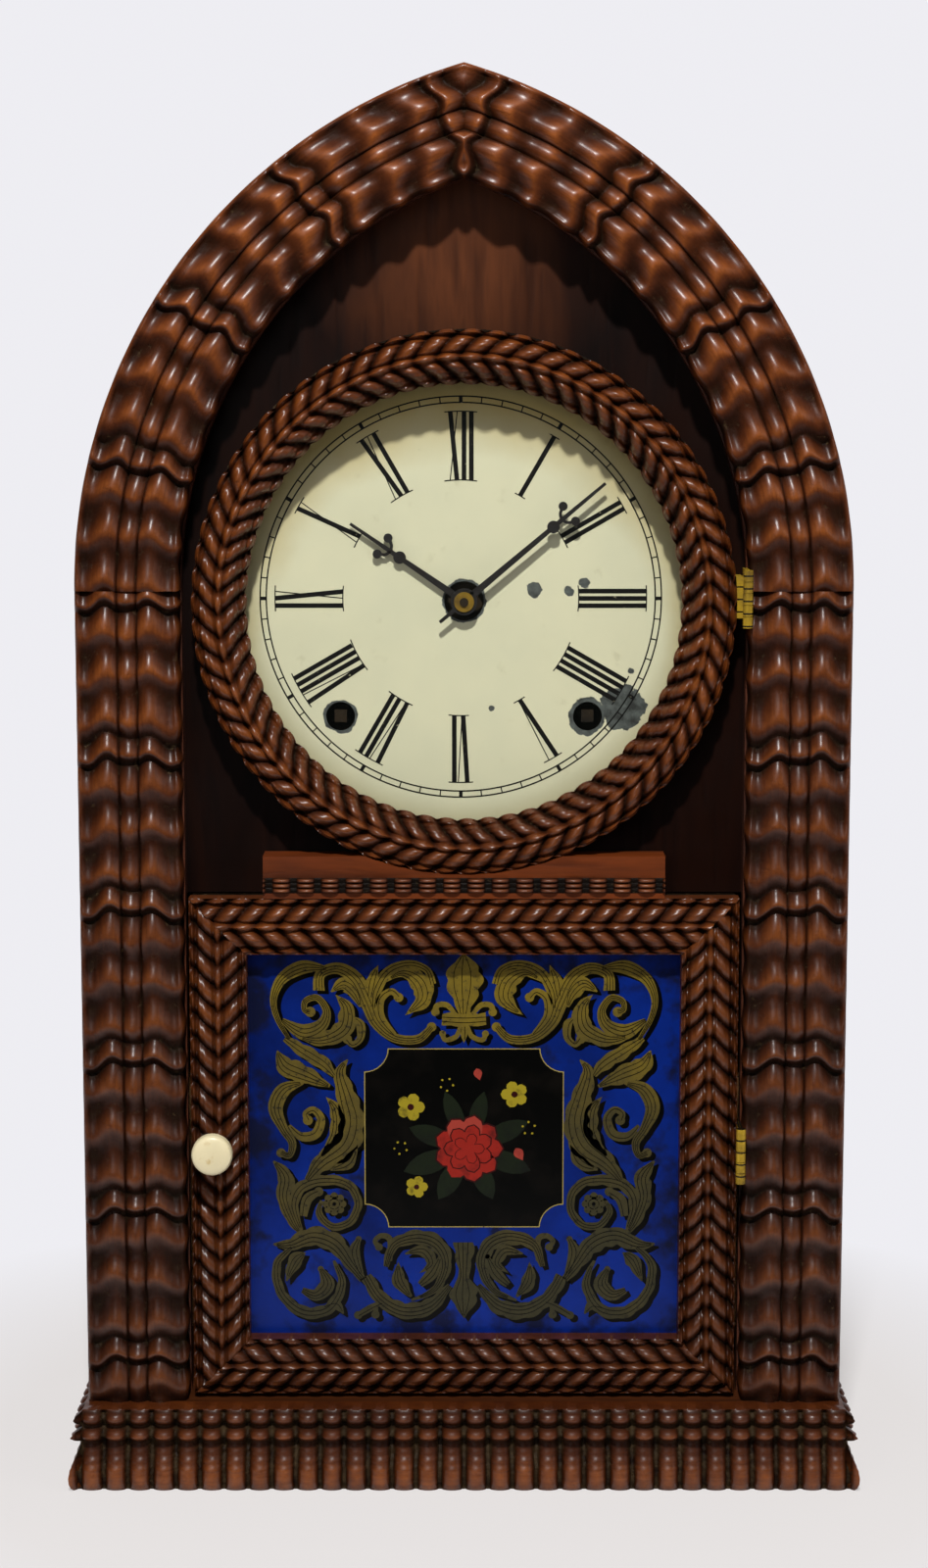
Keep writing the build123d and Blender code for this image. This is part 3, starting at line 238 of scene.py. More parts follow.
def makeGrainGroup():
    # streaks drawn out along the first coordinate, with pores between them
    group, given, result = newGroup("woodGrain", [
        ("Vector", "NodeSocketVector", None), ("Stretch", "NodeSocketFloat", 14.0),
        ("Scale", "NodeSocketFloat", 8.0)], [("Streak", "NodeSocketFloat"), ("Pore", "NodeSocketFloat")])
    stretch = addNode(group, "ShaderNodeCombineXYZ", {0: 1.0, 1: given.outputs["Stretch"], 2: given.outputs["Stretch"]})
    drawn = addNode(group, "ShaderNodeVectorMath", {0: given.outputs["Vector"], 1: stretch.outputs[0]},
                    operation="MULTIPLY")
    streak = addNode(group, "ShaderNodeTexNoise", {"Vector": drawn.outputs[0], "Scale": given.outputs["Scale"],
                                                   "Detail": 5.0, "Roughness": 0.6, "Distortion": 0.4})
    fine = times(group, given.outputs["Scale"], 4.5)
    pore = addNode(group, "ShaderNodeTexNoise", {"Vector": drawn.outputs[0], "Scale": fine, "Detail": 2.0})
    poreMask = mapRange(group, pore.outputs[0], 0.56, 0.72)
    clear = mapRange(group, streak.outputs[0], 0.34, 0.66)
    group.links.new(clear, result.inputs["Streak"])
    group.links.new(poreMask, result.inputs["Pore"])
    return group


def makePatchGroup():
    # soft uneven patches, for dirt, wear and fading
    group, given, result = newGroup("unevenPatches", [
        ("Vector", "NodeSocketVector", None), ("Scale", "NodeSocketFloat", 30.0), ("Low", "NodeSocketFloat", 0.45),
        ("High", "NodeSocketFloat", 0.65)], [("Mask", "NodeSocketFloat")])
    noise = addNode(group, "ShaderNodeTexNoise", {"Vector": given.outputs["Vector"], "Scale": given.outputs["Scale"],
                                                  "Detail": 6.0, "Roughness": 0.62})
    mask = mapRange(group, noise.outputs[0], given.outputs["Low"], given.outputs["High"])
    group.links.new(mask, result.inputs["Mask"])
    return group


def makeChipGroup():
    # one ragged spot where paint has flaked
    group, given, result = newGroup("flakedSpot", [
        ("Vector", "NodeSocketVector", None), ("Centre", "NodeSocketVector", (0, 0, 0)),
        ("Radius", "NodeSocketFloat", 0.003), ("Ragged", "NodeSocketFloat", 0.004)], [("Mask", "NodeSocketFloat")])
    away = addNode(group, "ShaderNodeVectorMath", {0: given.outputs["Vector"], 1: given.outputs["Centre"]},
                   operation="DISTANCE")
    noise = addNode(group, "ShaderNodeTexNoise", {"Vector": given.outputs["Vector"], "Scale": 260.0, "Detail": 5.0})
    bump = times(group, addMath(group, "SUBTRACT", noise.outputs[0], 0.5), given.outputs["Ragged"])
    edge = addMath(group, "SUBTRACT", given.outputs["Radius"], addMath(group, "ADD", away.outputs["Value"], bump))
    mask = mapRange(group, edge, 0.0, 0.00025)
    group.links.new(mask, result.inputs["Mask"])
    return group


grainGroup = makeGrainGroup()
patchGroup = makePatchGroup()
chipGroup = makeChipGroup()


def placeGroup(tree, group, values):
    return addNode(tree, "ShaderNodeGroup", values, node_tree=group)


def patchMask(tree, spot, scale, low, high):
    values = {"Vector": spot, "Scale": scale, "Low": low, "High": high}
    return placeGroup(tree, patchGroup, values).outputs[0]


def darken(tree, colour, mask, amount, tint):
    # where the mask is up, the colour goes towards a darker tint of itself
    darker = mixColour(tree, 1.0, colour, tint, "MULTIPLY")
    return mixColour(tree, times(tree, mask, amount), colour, darker)


# rippled wood: dust and painted shade in the hollows, worn and lighter on the crests
rippleFinish = {
    "hollow": shade(17, 8, 3), "deep": shade(48, 20, 6), "body": shade(91, 43, 11), "worn": shade(134, 71, 24),
    "dust": shade(78, 62, 40), "stain": (0.4, 0.32, 0.26, 1), "stainShares": (0.45, 0.5, 0.5),
    "roughness": 0.46, "specular": 0.08, "gloss": 0.7,
    "coatRoughness": 0.33, "paintedFootShade": (0.06, 0.27, 0.58, 1.0), "paintedArchLight": (0.31, 0.4, 1.0, 1.28)}


def makeRippleWood(name, dusty, paintedTones=None):
    material, tree, shader = newMaterial(name)
    place = addNode(tree, "ShaderNodeTexCoord")
    spot = place.outputs["Object"]
    grain = placeGroup(tree, grainGroup, {"Vector": place.outputs["UV"], "Stretch": 9.0, "Scale": 9.0})
    crest = addNode(tree, "ShaderNodeAttribute", attribute_name="crest").outputs["Fac"]
    patches = patchMask(tree, spot, 34.0, 0.38, 0.64)
    mottle = patchMask(tree, spot, 170.0, 0.36, 0.66)
    nicks = patchMask(tree, spot, 420.0, 0.6, 0.7)
    base = addRamp(tree, crest, [
        (0.0, rippleFinish["hollow"]), (0.3, rippleFinish["deep"]), (0.66, rippleFinish["body"]),
        (1.0, rippleFinish["worn"])])

    for mask, amount in zip((grain.outputs["Streak"], patches, mottle), rippleFinish["stainShares"]):
        base = darken(tree, base, mask, amount, rippleFinish["stain"])
    if paintedTones:
        # painted light and shade: the colour is darkened towards the foot of the case, or brightened towards the top of
        # the arches
        climb = addNode(tree, "ShaderNodeSeparateXYZ", {0: spot}).outputs[2]
        low, high, lowShare, highShare = paintedTones
        tone = mapRange(tree, climb, low, high, lowShare, highShare)
        base = mixColour(tree, 1.0, base, tone, "MULTIPLY")
    hollows = mapRange(tree, crest, 0.42, 0.08)
    settled = times(tree, times(tree, hollows, mottle), dusty)
    base = mixColour(tree, settled, base, rippleFinish["dust"])
    dustRoom = times(tree, nicks, addMath(tree, "SUBTRACT", 0.62, crest, True))
    colour = mixColour(tree, dustRoom, base, rippleFinish["dust"])
    tree.links.new(colour, shader.inputs["Base Color"])
    rough = addMath(tree, "ADD", rippleFinish["roughness"], times(tree, patches, 0.12))
    rough = addMath(tree, "ADD", rough, times(tree, mottle, 0.1))
    tree.links.new(rough, shader.inputs["Roughness"])
    shader.inputs["Specular IOR Level"].default_value = rippleFinish["specular"]
    # varnish is left on the crests and gone from the hollows
    kept = mapRange(tree, crest, 0.2, 0.7)
    kept = addMath(tree, "SUBTRACT", kept, times(tree, mottle, 0.3), True)
    tree.links.new(times(tree, kept, rippleFinish["gloss"]), shader.inputs["Coat Weight"])
    shader.inputs["Coat Roughness"].default_value = rippleFinish["coatRoughness"]
    height = addMath(tree, "ADD", times(tree, grain.outputs["Streak"], 0.4),
                     times(tree, mottle, 0.5))
    height = addMath(tree, "SUBTRACT", height, times(tree, nicks, 0.5))
    bump = addNode(tree, "ShaderNodeBump", {"Height": height, "Strength": 0.6, "Distance": 0.0005})
    tree.links.new(bump.outputs[0], shader.inputs["Normal"])
    return material


def makeBoardWood(name, light, dark, along, scale, stretch, roughness, specular, paintedLightSpot=None):
    # flat board or veneer: along names the axis that the grain follows
    material, tree, shader = newMaterial(name)
    spot = objectSpot(tree)
    turn = {"x": (0, 0, 0), "y": (0, 0, math.radians(-90)), "z": (0, math.radians(90), 0)}[along]
    mapped = addNode(tree, "ShaderNodeMapping", {"Vector": spot, "Rotation": turn})
    grain = placeGroup(tree, grainGroup, {"Vector": mapped.outputs[0], "Stretch": stretch, "Scale": scale})
    patches = patchMask(tree, spot, 14.0, 0.35, 0.7)
    base = addRamp(tree, grain.outputs["Streak"], [(0.05, dark), (0.6, light), (0.95, dark)])
    base = darken(tree, base, patches, 0.45, (0.4, 0.35, 0.32, 1))
    base = darken(tree, base, grain.outputs["Pore"], 0.5, (0.3, 0.26, 0.24, 1))
    if paintedLightSpot:
        # painted light and shade: the panel is darkened in colour away from one place at its top, and stays bright
        # round it
        away = addNode(tree, "ShaderNodeVectorMath", {0: spot, 1: paintedLightSpot}, operation="DISTANCE")
        near = mapRange(tree, away.outputs["Value"], 0.056, 0.012)
        base = mixColour(tree, near, mixColour(tree, 1.0, base, (0.09, 0.065, 0.05, 1), "MULTIPLY"), base)
    tree.links.new(base, shader.inputs["Base Color"])
    rough = addMath(tree, "ADD", roughness, times(tree, patches, 0.15))
    tree.links.new(rough, shader.inputs["Roughness"])
    shader.inputs["Specular IOR Level"].default_value = specular
    height = addMath(tree, "SUBTRACT", times(tree, grain.outputs["Streak"], 0.5), grain.outputs["Pore"])
    bump = addNode(tree, "ShaderNodeBump", {"Height": height, "Strength": 0.2, "Distance": 0.0004})
    tree.links.new(bump.outputs[0], shader.inputs["Normal"])
    return material


def makeMetal(name, bright, dull, roughness, scale=60.0, metallic=1.0, knuckle=0.0):
    # aged metal: tarnish in patches, fine scratches in the bump, dark joints between a hinge's knuckles
    material, tree, shader = newMaterial(name)
    spot = objectSpot(tree)
    patches = patchMask(tree, spot, scale, 0.38, 0.66)
    scratch = placeGroup(tree, grainGroup, {"Vector": spot, "Stretch": 0.08, "Scale": 900.0})
    colour = mixColour(tree, patches, bright, dull)
    if knuckle:
        height = addNode(tree, "ShaderNodeSeparateXYZ", {0: spot}).outputs[2]
        part = addMath(tree, "FRACT", addMath(tree, "DIVIDE", height, knuckle))
        colour = mixColour(tree, addMath(tree, "LESS_THAN", part, 0.13), colour, shade(20, 14, 5))
    tree.links.new(colour, shader.inputs["Base Color"])
    rough = addMath(tree, "ADD", roughness, times(tree, patches, 0.25))
    tree.links.new(rough, shader.inputs["Roughness"])
    shader.inputs["Metallic"].default_value = metallic
    bump = addNode(tree, "ShaderNodeBump", {"Height": scratch.outputs["Streak"], "Strength": 0.12, "Distance": 0.0002})
    tree.links.new(bump.outputs[0], shader.inputs["Normal"])
    return material


def makePaint(name, colour, worn, scale=90.0, low=0.55, high=0.66, roughness=0.4, specular=0.3):
    # flat paint or ink with worn specks
    material, tree, shader = newMaterial(name)
    spot = objectSpot(tree)
    specks = patchMask(tree, spot, scale, low, high)
    tone = patchMask(tree, spot, scale / 6, 0.3, 0.7)
    base = darken(tree, colour, tone, 0.35, (0.5, 0.5, 0.52, 1))
    tree.links.new(mixColour(tree, specks, base, worn), shader.inputs["Base Color"])
    rough = addMath(tree, "ADD", roughness, times(tree, specks, 0.12))
    tree.links.new(rough, shader.inputs["Roughness"])
    shader.inputs["Specular IOR Level"].default_value = specular
    return material


# rippled mouldings: each is a grid carried to its place by share along and share across
ripple = {
    "longWave": 14.7, "shortWave": 8.3, "longWaves": 3, "waveDepth": 2.2, "notchDepth": 2.9, "bandShare": 0.405,
    "bandRise": 1.2, "bandLean": 1.65, "beadRise": 0.9, "edgeDrop": 2.2, "edgeShare": 0.035, "pillarPhase": 6.3,
    "archPhase": 12.6, "innerScallop": 0.34, "scallopShare": 0.16, "skew": 0.5, "lipSkew": 0.25, "longSkew": 0.05,
    "crisp": 0.95, "underShade": 0.5, "rimShare": 0.06, "rimSwell": 0.25, "wobble": 0.55,
    "wobbleRuns": (9.7, 4.3), "wobbleTurns": (4.0, -6.0)}


def rippleSheet(name, columns, rows, length, width, surface):
    clearSelection()
    bpy.ops.mesh.primitive_grid_add(x_subdivisions=columns, y_subdivisions=rows, size=1)
    sheet = bpy.context.object
    sheet.name = name
    sheet.data.name = name
    crest = sheet.data.attributes.new("crest", "FLOAT", "POINT")
    for index, vertex in enumerate(sheet.data.vertices):
        point, height = surface(vertex.co.x + 0.5, vertex.co.y + 0.5)
        vertex.co = Vector(point) * mm
        crest.data[index].value = height
    for corner in sheet.data.uv_layers.active.data:
        corner.uv = (corner.uv[0] * length / 100, corner.uv[1] * width / 100)
    return sheet


def drawRim(sheet, moved, ring=False):
    # the open rim is drawn out to where its points belong, and the hole is closed
    front = len(sheet.data.vertices)
    clearSelection()
    sheet.select_set(True)
    bpy.context.view_layer.objects.active = sheet
    bpy.ops.object.mode_set(mode="EDIT")
    bpy.ops.mesh.select_all(action="SELECT")
    bpy.ops.mesh.region_to_loop()
    bpy.ops.mesh.extrude_region_move(TRANSFORM_OT_translate={"value": (0, 0, 0)})
    bpy.ops.object.mode_set(mode="OBJECT")
    for vertex in sheet.data.vertices[front:]:
        vertex.co = moved(*vertex.co)
    bpy.ops.object.mode_set(mode="EDIT")
    if ring:
        bpy.ops.mesh.bridge_edge_loops()
    else:
        bpy.ops.mesh.edge_face_add()
    bpy.ops.object.mode_set(mode="OBJECT")
    mend(sheet)
    smoothEdges(sheet)


def closeBack(sheet, backY, ring=False, reach=1000.0):
    # the rim goes back to the board behind
    if ring:
        mend(sheet, 0.00001)
    drawRim(sheet, lambda x, y, z: (min(max(x, -reach * mm), reach * mm), backY * mm, z), ring)


def waveHeight(run):
    period = ripple["shortWave"] + ripple["longWaves"] * ripple["longWave"]
    run = run % period
    if run < ripple["shortWave"]:
        return -ripple["notchDepth"] * (1 - math.sin(math.pi * skewed(run / ripple["shortWave"], ripple["skew"])))
    place = (run - ripple["shortWave"]) / ripple["longWave"]
    whole = int(place)
    part = skewed(place - whole, ripple["longSkew"] if whole else ripple["lipSkew"])
    if (whole == 0 and part < 0.5) or (whole == ripple["longWaves"] - 1 and part >= 0.5):
        return -ripple["notchDepth"] * (1 - math.sin(math.pi * part))
    return -ripple["waveDepth"] * ((1 + math.cos(2 * math.pi * part)) / 2) ** ripple["crisp"]


def skewed(part, skew):
    # the wave climbs fast to its crest and falls slowly, so a lip hangs over the notch below it
    return part + skew * (1 - math.cos(2 * math.pi * part)) / (2 * math.pi)


def bandProfile(share):
    band = ripple["bandShare"]
    if share < band or share > 1 - band:
        part = min(share, 1 - share) / band
        height = ripple["bandRise"] * math.sin(2 * math.pi * (part - 0.47))
        return height, ripple["bandLean"] * height
    part = (share - band) / (1 - 2 * band)
    return ripple["beadRise"] * (2 * math.sin(math.pi * part) - 1), 0.0


def rippleFace(share, run):
    # setback of the face from its mean plane, and its wear-and-shade value: lighter where the crests are worn, darker
    # in painted shade in the hollows
    edge = min(share, 1 - share) / ripple["edgeShare"]
    # waves cut by hand are never quite even
    run += ripple["wobble"] * sum(math.sin(run / length + turn * share)
                                  for length, turn in zip(ripple["wobbleRuns"], ripple["wobbleTurns"]))
    height, lean = bandProfile(min(max(share, ripple["edgeShare"]), 1 - ripple["edgeShare"]))
    swell = waveHeight(run - lean)
    wearAndShade = 0.72 * (1 + swell / ripple["notchDepth"]) + 0.28 * (0.5 + height / (2 * ripple["bandRise"]))
    # painted shade: the undersides of the lips are darkened in colour, where shade falls
    climb = (waveHeight(run - lean + 0.25) - swell) / 0.25
    wearAndShade *= 1 - ripple["underShade"] * min(max(climb / 0.9, 0), 1)
    # painted shade: darker along the grooves between the bands
    band = ripple["bandShare"]
    groove = min(abs(share - band), abs(share - 1 + band)) * clock["mouldingWidth"]
    wearAndShade *= 0.35 + 0.65 * min(groove / 0.7, 1)
    scallop = edgeScallop(share, swell)
    rim = min((1 - share) / ripple["rimShare"], 1)
    swell *= ripple["rimSwell"] + (1 - ripple["rimSwell"]) * rim
    wearAndShade += (0.85 - wearAndShade) * (1 - rim)
    if edge < 1:
        ease = math.sin(edge * math.pi / 2)
        height = -ripple["edgeDrop"] + (height + ripple["edgeDrop"]) * ease
    return -(height + swell), wearAndShade, scallop


def edgeScallop(share, swell):
    # how far the moulding's inner edge draws in where the wave sinks
    return -swell * ripple["innerScallop"] * max(1 - share / ripple["scallopShare"], 0)


def makePillars(material):
    length = clock["springHeight"] - clock["baseHeight"]
    mean = clock["mouldingFront"] + ripple["bandRise"]
    for side, word in ((-1, "left"), (1, "right")):
        def surface(along, across):
            setback, wearAndShade, scallop = rippleFace(across, length * along - length + ripple["pillarPhase"])
            x = side * (clock["openingHalf"] + clock["mouldingWidth"] * across + scallop)
            return (x, mean + setback, clock["baseHeight"] + length * along), wearAndShade
        pillar = rippleSheet(word + "Pillar", 560, 76, length, clock["mouldingWidth"], surface)
        closeBack(pillar, clock["mouldingBack"])
        settle(pillar, "case", material, (word + "_pillar_moulding",))
    print("pillars made")


def makeArches(material):
    midRadius = archRadius - clock["mouldingWidth"] / 2
    mean = clock["mouldingFront"] + ripple["bandRise"]
    length = midRadius * math.acos(archOffset / midRadius)
    for side, word in ((-1, "left"), (1, "right")):
        def surface(along, across):
            radius = archRadius - clock["mouldingWidth"] * (1 - across)
            turn = math.acos(archOffset / radius) * along
            setback, wearAndShade, scallop = rippleFace(across, midRadius * turn + ripple["archPhase"])
            radius += scallop * min(1, 12 * along, 12 * (1 - along))
            x = side * (radius * math.cos(turn) - archOffset)
            return (x, mean + setback, clock["springHeight"] + radius * math.sin(turn)), wearAndShade
        arch = rippleSheet(word + "Arch", 480, 76, length, clock["mouldingWidth"], surface)
        closeBack(arch, clock["mouldingBack"])
        settle(arch, "case", material, (word + "_arch_moulding",))
    print("arches made")


# door: four mitred members, the round bezel and the bridge between them
doorFrame = {
    "member": 19.5, "crown": 7.0, "pitch": 8.0, "depth": 2.6, "lean": 0.9, "rabbet": 3.5, "bezelOuter": 92.0,
    "bezelSight": 73.5, "bezelRipples": 67, "bridgeHalf": 68.5, "bridgeFace": -34.5, "reedLow": 206.8,
    "reedHigh": 212.0, "reedProud": 1.7, "reedHalf": 3.0, "reedPitch": 8.3,
    "rope": 0.05, "ropeSwell": 0.55, "edgeScallop": 0.9, "outerReach": 0.1, "sightReach": (0.7, 0.82),
    "section": ((0.0, 0.42), (0.06, 0.2), (0.11, 0.5), (0.18, 0.16), (0.28, 0.04), (0.37, 0.1), (0.43, 0.3),
                (0.46, 0.06), (0.5, 0.0), (0.54, 0.06), (0.57, 0.3), (0.64, 0.1), (0.72, 0.05), (0.82, 0.18),
                (0.89, 0.5), (0.94, 0.24), (1.0, 0.45)),
    "roundSection": ((0.0, 0.5), (0.06, 0.26), (0.11, 0.52), (0.18, 0.2), (0.28, 0.06), (0.37, 0.1), (0.43, 0.3),
                     (0.46, 0.06), (0.5, 0.0), (0.54, 0.06), (0.57, 0.3), (0.66, 0.2), (0.76, 0.34), (0.84, 0.58),
                     (0.88, 0.9), (0.93, 0.86), (1.0, 1.25))}


def between(table, share):
    # smooth reading of a profile's table
    for (low, first), (high, second) in zip(table, table[1:]):
        if share <= high:
            part = (share - low) / (high - low)
            part = part * part * (3 - 2 * part)
            return first + (second - first) * part
    return table[-1][1]


def lobe(run, pitch, depth):
    # rounded lobes with a tight valley between them
    return -depth * (1 - abs(math.sin(math.pi * run / pitch))) ** 1.15


def doorFace(share, run, pitch, section="section"):
    across = share * doorFrame["member"]
    drop = between(doorFrame[section], share)
    lean = doorFrame["lean"] * abs(across - doorFrame["member"] / 2)
    fade = min(1, share / 0.03, (1 - share) / 0.03)
    rope = min(abs(share - 0.5) / doorFrame["rope"], 1)
    fade *= doorFrame["ropeSwell"] + (1 - doorFrame["ropeSwell"]) * rope
    swell = lobe(run + lean * pitch / doorFrame["pitch"], pitch, doorFrame["depth"]) * fade
    # painted shade in the valleys and where the section sinks back, lighter on the lobes
    wearAndShade = 0.75 * (1 + swell / doorFrame["depth"]) + 0.25 * max(1 - drop / 0.4, 0)
    return doorFrame["crown"] * drop - swell, wearAndShade


def makeDoorFrame(material):
    half, low, high = clock["doorHalf"], clock["doorFloor"], clock["doorTop"]
    height = high - low
    members = {
        "doorLeftStile": (height, -1, lambda run, across, y: (-half + across, y, low + run), "door_left_stile"),
        "doorRightStile": (height, 1, lambda run, across, y: (half - across, y, low + run), "door_right_stile"),
        "doorTopRail": (2 * half, -1, lambda run, across, y: (-half + run, y, high - across), "door_top_rail"),
        "doorBottomRail": (2 * half, 1, lambda run, across, y: (-half + run, y, low + across), "door_bottom_rail")}
    for name, (length, flow, place, node) in members.items():
        def surface(along, share):
            across = share * doorFrame["member"]
            run = across + (length - 2 * across) * along
            setback, wearAndShade = doorFace(share, flow * (run - length / 2), doorFrame["pitch"])
            return place(run, across, clock["doorFront"] + setback), wearAndShade
        member = rippleSheet(name, 420, 60, length, doorFrame["member"], surface)
        closeBack(member, clock["glassFront"] - 0.05)
        settle(member, "door", material)
        keepBehind(name + "Rebate", length, place, node, material)
    print("door frame made")


def keepBehind(name, length, place, node, material):
    # the rebated back of the member, a mitred bar behind the rippled face
    clearSelection()
    bpy.ops.mesh.primitive_cube_add(size=1)
    bar = bpy.context.object
    bar.name = name
    inner = doorFrame["member"] - doorFrame["rabbet"]
    for vertex in bar.data.vertices:
        across = inner if vertex.co.y > 0 else 0.3
        run = length - across if vertex.co.x > 0 else across
        y = clock["doorBack"] if vertex.co.z > 0 else clock["glassFront"] - 0.06
        vertex.co = Vector(place(run, across, y)) * mm
    bpy.ops.object.modifier_add(type="BEVEL")
    bar.modifiers[0].width = 0.0003
    bpy.ops.object.modifier_apply(modifier=bar.modifiers[0].name)
    mend(bar)
    settle(bar, "door", material, (node,))


def makeBezel(material):
    outer, sight = doorFrame["bezelOuter"], doorFrame["bezelSight"]
    width = outer - sight
    pitch = 2 * math.pi / doorFrame["bezelRipples"]

    def surface(along, share):
        turn = 2 * math.pi * along
        run = turn / pitch * doorFrame["pitch"]
        setback, wearAndShade = doorFace(share, run, doorFrame["pitch"], "roundSection")
        # both edges draw in where the lobes meet
        start, full = doorFrame["sightReach"]
        draw = min(max((share - start) / (full - start), 0), 1) - max(1 - share / doorFrame["outerReach"], 0)
        valley = -lobe(run + doorFrame["lean"] * doorFrame["member"] * abs(share - 0.5), doorFrame["pitch"], 1.0)
        radius = outer - width * share + doorFrame["edgeScallop"] * valley * draw
        x = radius * math.cos(turn)
        return (x, clock["doorFront"] + setback, clock["dialHeight"] + radius * math.sin(turn)), wearAndShade

    bezel = rippleSheet("roundBezel", 1340, 52, 2 * math.pi * (outer - width / 2), width, surface)
    closeBack(bezel, clock["glassFront"] - 0.05, ring=True)
    settle(bezel, "door", material)

    # rebated back of the bezel
    clearSelection()
    bpy.ops.mesh.primitive_cylinder_add(vertices=160, radius=outer * mm, depth=0.005, end_fill_type="NOTHING",
                                        location=(0, 0, 0))
    back = bpy.context.object
    back.name = "roundBezelRebate"
    for vertex in back.data.vertices:
        y = clock["doorBack"] if vertex.co.z > 0 else clock["glassFront"] - 0.06
        vertex.co = (vertex.co.x, y * mm, vertex.co.y + clock["dialHeight"] * mm)
    inner = (sight + doorFrame["rabbet"]) / outer
    middle = clock["dialHeight"] * mm
    drawRim(back, lambda x, y, z: (x * inner, y, middle + (z - middle) * inner), ring=True)
    settle(back, "door", material, ("bezel_ring",))
    print("bezel made")


# base: fluted front and sides
baseStock = {
    "width": 273.0, "depth": 102.0, "skin": 13.0, "pitch": 8.3, "flute": 3.1, "reedHalf": 3.45,
    "profile": ((0.0, 0.12), (0.04, 0.05), (0.1, 0.01), (0.16, 0.0), (0.25, 0.03), (0.35, 0.12), (0.45, 0.22),
                (0.53, 0.28), (0.58, 0.32), (0.6, 0.33), (0.63, 0.16), (0.675, 0.06), (0.72, 0.16), (0.77, 0.34),
                (0.79, 0.36), (0.815, 0.3), (0.85, 0.18), (0.885, 0.14), (0.93, 0.19), (0.97, 0.32), (1.0, 0.38))}


def makeBase(material):
    skin = baseStock["skin"]

    def face(share, run, near, far):
        drop = between(baseStock["profile"], share)
        fade = min(1, 0.5 + share / 0.05, (1 - share) / 0.05, (run - near) / 2, (far - run) / 2)
        aside = abs((run / baseStock["pitch"]) % 1 - 0.5) * baseStock["pitch"]
        hollow = 1 - math.sqrt(max(0, 1 - (aside / baseStock["reedHalf"]) ** 2))
        # painted shade in the flutes and where the profile sinks back, lighter at the top edge
        wearAndShade = (1 - 0.95 * hollow) * (1 - 0.7 * min(drop / 0.36, 1))
        wearAndShade = max(wearAndShade, 12 * (share - 0.95))
        return skin * drop, baseStock["flute"] * hollow * max(fade, 0), wearAndShade

    def front(along, share):
        inset = skin * between(baseStock["profile"], share)
        reach = baseStock["width"] / 2 - inset
        run = -reach + 2 * reach * along
        drop, swell, wearAndShade = face(share, run, -reach, reach)
        return (run, -baseStock["depth"] / 2 + drop + swell, clock["baseHeight"] * share), wearAndShade

    stock = rippleSheet("baseFrontStock", 520, 60, baseStock["width"], clock["baseHeight"], front)
    closeBack(stock, -baseStock["depth"] / 2 + skin, reach=baseStock["width"] / 2 - skin)
    settle(stock, "case", material, ("base_front_moulding",))
    for side, word in ((-1, "left"), (1, "right")):
        def flank(along, share):
            inset = skin * between(baseStock["profile"], share)
            near = -baseStock["depth"] / 2 + inset
            far = baseStock["depth"] / 2
            run = near + (far - near) * along
            drop, swell, wearAndShade = face(share, run, near, far)
            return (side * (baseStock["width"] / 2 - drop - swell), run, clock["baseHeight"] * share), wearAndShade
        stock = rippleSheet(word + "BaseStock", 200, 60, baseStock["depth"], clock["baseHeight"], flank)
        backX = side * (baseStock["width"] / 2 - skin) * mm
        drawRim(stock, lambda x, y, z: (backX, max(y, (skin - baseStock["depth"] / 2) * mm), z))
        settle(stock, "case", material, ("base_" + word + "_moulding",))
    print("base made")


def makeBridge(material):
    # row of reeds on the bridge's face, broken by the bezel above
    low, high = doorFrame["reedLow"], doorFrame["reedHigh"]
    half = doorFrame["bridgeHalf"]

    def surface(along, share):
        run = -half + 2 * half * along
        fade = min(1, share / 0.06, (1 - share) / 0.06)
        rib = abs(math.sin(3 * math.pi * share)) ** 0.6
        aside = abs((run / doorFrame["reedPitch"]) % 1 - 0.5) * doorFrame["reedPitch"]
        bobbin = math.sqrt(max(0, 1 - (aside / doorFrame["reedHalf"]) ** 2))
        proud = 0.15 + rib * (0.12 + 0.88 * bobbin) * doorFrame["reedProud"] * fade
        # painted shade between the ribs and between the bobbins
        return (run, doorFrame["bridgeFace"] - proud, low + (high - low) * share), rib * bobbin

    reeds = rippleSheet("bridgeReeds", 420, 36, 2 * half, high - low, surface)
    closeBack(reeds, doorFrame["bridgeFace"] + 0.4)
    settle(reeds, "door", material, ("bridge_reeds",))
    print("bridge reeds made")


# flat shapes: printing on the dial and painting on the glass
def flatShapes(name, outlines, faceY, thickness=0.03):
    # each outline is a list of (x, z) in millimetres, counter-clockwise or not
    clearSelection()
    bpy.ops.mesh.primitive_circle_add(vertices=len(outlines[0]), radius=0.01, fill_type="NGON")
    sheet = bpy.context.object
    sheet.name = name
    sheet.data.name = name
    bpy.ops.object.mode_set(mode="EDIT")
    for outline in outlines[1:]:
        bpy.ops.mesh.primitive_circle_add(vertices=len(outline), radius=0.01, fill_type="NGON")
    bpy.ops.object.mode_set(mode="OBJECT")
    points = [(x, faceY - 0.006 * (index % 6), z) for index, outline in enumerate(outlines) for x, z in outline]
    for vertex, (x, y, z) in zip(sheet.data.vertices, points):
        vertex.co = (x * mm, y * mm, z * mm)
    sheet.data.update()
    for polygon in sheet.data.polygons:
        if polygon.normal.y > 0:
            polygon.flip()
    sheet.data.update()
    bpy.ops.object.modifier_add(type="SOLIDIFY")
    sheet.modifiers[0].thickness = thickness * mm
    sheet.modifiers[0].offset = -1
    bpy.ops.object.modifier_apply(modifier=sheet.modifiers[0].name)
    return sheet


def arcBand(centre, inner, outer, start, end, steps):
    # a piece of a ring, as one outline
    turns = [math.radians(start + (end - start) * step / steps) for step in range(steps + 1)]
    rim = [(centre[0] + outer * math.sin(turn), centre[1] + outer * math.cos(turn)) for turn in turns]
    return rim + [(centre[0] + inner * math.sin(turn), centre[1] + inner * math.cos(turn)) for turn in reversed(turns)]


